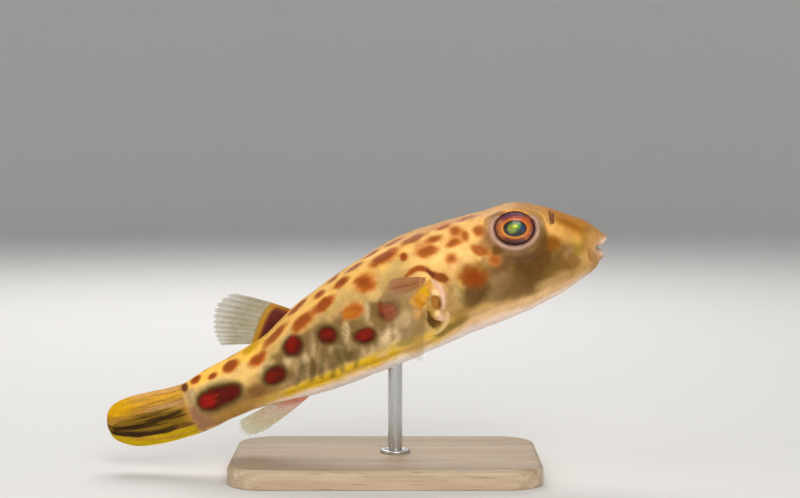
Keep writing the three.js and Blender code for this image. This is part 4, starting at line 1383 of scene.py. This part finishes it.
# %% Nostril flaps
LEAF_ROWS, LEAF_ROUND = 28, 20
LEAF_WIDTH, LEAF_THICK = 0.46, 0.36
LEAF_TALL = 2.85


def leaf(base, tip, bow):
    """A flattened tube from base to tip along a bowed line, with a rounded end."""
    s = np.linspace(0, 1, LEAF_ROWS)[:, None]
    turn = np.linspace(0, 2 * math.pi, LEAF_ROUND, endpoint=False)
    line = base + (tip - base) * s + np.array(bow) * (4 * s * (1 - s))
    ahead = unit(np.gradient(line, axis=0))
    out = unit(np.cross(ahead, [1.0, 0.0, 0.2]))
    along = np.cross(out, ahead)
    swell = np.sqrt(np.clip(1 - s**4, 0.0004, 1)) * (0.75 + 0.5 * np.sin(math.pi * s * 0.8))
    return (line[:, None] + along[:, None] * (LEAF_WIDTH / 2 * swell * np.cos(turn))[..., None]
            + out[:, None] * (LEAF_THICK / 2 * swell * np.sin(turn))[..., None])


def nostril_finish():
    """Soft brown skin, darker in small patches."""
    finish = Finish("nostril_skin")
    patchy = finish.between(finish.noise(0.5), 0.4, 0.6, 0.0, 1.0)
    return finish.done({
        "Base Color": finish.mix(patchy, (0.12, 0.032, 0.008, 1), (0.24, 0.08, 0.018, 1)),
        "Roughness": 0.4, "Subsurface Weight": 0.1, "Subsurface Scale": 0.0006, "Coat Weight": 0.2,
    })


nostril_material = nostril_finish()
for side, word in SIDES:
    base = np.array([39.95, side * 7.55, 52.3])
    points, faces = [], []
    for shift, size in ((-0.38, 1.0), (0.32, 0.82)):
        tip = base + [shift - 0.25, side * 0.5, LEAF_TALL * size]
        faces.append(capped_faces(LEAF_ROWS, LEAF_ROUND) + sum(map(len, points)))
        points.append(with_ends(leaf(base + [shift * 0.6, 0, 0], tip, [0, side * 0.3, 0])))
    new_piece("nostril_flap_" + word, np.vstack(points), np.vstack(faces), nostril_material,
              ["nostril_" + word])

# %% [markdown]
# ## The beak
#
# A puffer's teeth are fused into four plates, two above and two below, that form a beak. Only their edges
# show in the open mouth. Each jaw's pair is a curved bar behind the lip, with the middle groove that
# parts the plates.

# %% Tooth plates
BAR_ROWS, BAR_ROUND = 60, 24
BAR_THICK, BAR_TALL = 0.3, 0.42  # half of each


def tooth_bar(front, edge):
    """A bar bent in a U behind the lip, from that place in front. Its section is a rounded wedge, thinner at
    the biting edge, which is above it for 1 and below it for -1."""
    run = np.linspace(-1, 1, BAR_ROWS)[:, None]
    turn = np.linspace(0, 2 * math.pi, BAR_ROUND, endpoint=False)
    taper = np.sqrt(np.clip(1 - run**8, 0.001, 1)) * (1 - 0.25 * bump(run, 0, 0.05))
    thick = BAR_THICK * np.cos(turn) * taper * (0.65 - 0.35 * np.sin(turn) * edge)
    x = front - 1.5 * np.abs(run) ** 2.4 + thick
    z = MOUTH_HEIGHT - edge * 0.62 + BAR_TALL * np.sin(turn) * taper
    return np.stack(np.broadcast_arrays(x, 2.35 * run, z), -1)


def beak_finish():
    """Ivory, a little darker in fine streaks."""
    finish = Finish("beak_ivory")
    streak = finish.between(finish.noise(0.4, stretch=(1, 3, 0.4)), 0.3, 0.7, 0.0, 1.0)
    return finish.done({
        "Base Color": finish.mix(streak, (0.82, 0.74, 0.56, 1), (0.9, 0.86, 0.74, 1)),
        "Roughness": 0.3, "Subsurface Weight": 0.2, "Subsurface Scale": 0.0005,
    })


beak_material = beak_finish()
for word, front, edge in (("upper", 50.55, -1), ("lower", 50.1, 1)):
    closed_piece("beak_" + word, tooth_bar(front, edge), beak_material)

# %% [markdown]
# ## The stand
#
# The base is a block of pale oiled ash with softened edges, and the rod is brushed steel with a thin
# turned collar where it enters the wood. Both are made again as fine surfaces, because the solids show
# their facets.

# %% Wood and steel


def ash():
    """Bands of grain along the block, bent by noise, with short dark pores."""
    finish = Finish("ash")
    bands = finish.noise(4.5, 5.0, 0.6, (0.06, 1, 1), 1.4)
    fine = finish.noise(0.8, 4.0, 0.6, (0.035, 1, 1), 0.3)
    pores = finish.between(finish.noise(0.35, 2.0, 0.5, (0.05, 1, 1)), 0.6, 0.72, 0.0, 1.0)
    grain = finish.between(bands, 0.32, 0.68, 0.0, 1.0)
    base = finish.mix(grain, (0.36, 0.25, 0.15, 1), (0.62, 0.49, 0.34, 1))
    grained = finish.mix(finish.between(fine, 0.3, 0.7, 0.0, 0.55), base, (0.46, 0.33, 0.21, 1))
    return finish.done({
        "Base Color": finish.mix(finish.maths(MULTIPLY, pores, 0.75), grained, (0.2, 0.12, 0.06, 1)),
        "Roughness": finish.between(fine, 0.3, 0.7, 0.34, 0.5), "Coat Weight": 0.15, "Coat Roughness": 0.25,
        "Normal": finish.raised(finish.maths(SUBTRACT, fine, pores), 0.03),
    })


def steel():
    """Brushed round the rod: fine lines that blur the gloss."""
    finish = Finish("brushed_steel")
    lines = finish.noise(0.12, 3.0, 0.7, (0.15, 0.15, 1))
    return finish.done({
        "Base Color": finish.mix(lines, (0.5, 0.5, 0.5, 1), (0.68, 0.68, 0.67, 1)), "Metallic": 1.0,
        "Roughness": finish.between(lines, 0.3, 0.7, 0.22, 0.38), "Anisotropic": 0.4,
        "Normal": finish.raised(lines, 0.006),
    })


ash_material, steel_material = ash(), steel()
print("ash has", len(ash_material.node_tree.nodes), "nodes")

# %% The base
base_low, base_high = (np.array(corner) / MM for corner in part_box("stand_base"))
CORNER = 8.0  # the radius of its corners
UPPER_EDGE, LOWER_EDGE = 1.1, 0.4  # the radii of its edges


def rounded_plan(inset, steps=28):
    """The base's outline, moved in by inset: four straight sides joined by quarter circles."""
    half = (base_high - base_low)[:2] / 2 - inset
    radius = max(CORNER - inset, 0.05)
    corners = []
    for k, corner in enumerate(((1, 1), (-1, 1), (-1, -1), (1, -1))):
        angle = np.linspace(0, math.pi / 2, steps) + k * math.pi / 2
        middle = np.array(corner) * (half - radius)
        corners.append(middle + radius * np.stack([np.cos(angle), np.sin(angle)], -1))
    return np.vstack(corners) + (base_low + base_high)[:2] / 2


def base_surface():
    """Outlines stacked up the side: a small round edge below, a larger one above, then the flat top."""
    tall = base_high[2]
    quarter = [(1 - math.sin(a), 1 - math.cos(a)) for a in np.linspace(0, math.pi / 2, 9)]
    steps = [(9.0, 0.0), (2.0, 0.0)]
    steps += [(LOWER_EDGE * a, LOWER_EDGE * b) for a, b in quarter]
    steps += [(0.0, z) for z in np.linspace(LOWER_EDGE + 0.2, tall - UPPER_EDGE - 0.1, 6)]
    steps += [(UPPER_EDGE * b, tall - UPPER_EDGE * a) for a, b in quarter]
    steps += [(2.0, tall), (5.0, tall), (9.0, tall)]
    plans = [(rounded_plan(inset), z) for inset, z in steps]
    return np.stack([np.column_stack([plan, np.full(len(plan), z)]) for plan, z in plans])


closed_piece("base_block", base_surface(), ash_material, ["stand_base"])

# %% The rod and its collar
rod_low, rod_high = (np.array(corner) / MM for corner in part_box("stand_rod"))
ROD_ROUND = 64
COLLAR = 3.15  # its radius
COLLAR_EDGE = 0.4  # the radius of its upper edge


def turned_piece(name, profile, replaced=()):
    """A steel piece turned about the rod's axis from a profile of (radius, height)."""
    grid = turned_profile(*np.transpose(profile), ROD_ROUND, ((rod_low + rod_high) / 2)[:2])
    closed_piece(name, grid, steel_material, replaced)


radius = (rod_high - rod_low)[0] / 2
wood = base_high[2]
top, sunk = rod_high[2] + 1.2, wood - 1.5  # the rod ends inside the belly, and starts in the wood
turned_piece("rod", [
    (radius - 0.2, sunk), (radius, sunk + 0.2),
    *((radius, z) for z in np.linspace(sunk + 0.5, top - 0.4, 24)),
    (radius - 0.1, top - 0.1), (radius - 0.4, top),
], ["stand_rod"])
lip = [(COLLAR - COLLAR_EDGE * (1 - math.cos(a)), wood + 0.35 + COLLAR_EDGE * math.sin(a))
       for a in np.linspace(0.1, math.pi / 2, 7)]
turned_piece("rod_collar", [
    (1.6, wood - 0.6), (3.0, wood - 0.6), (COLLAR, wood - 0.4), (COLLAR, wood + 0.35), *lip,
    (2.2, wood + 0.78), (1.9, wood + 0.72), (1.7, wood + 0.6),
])
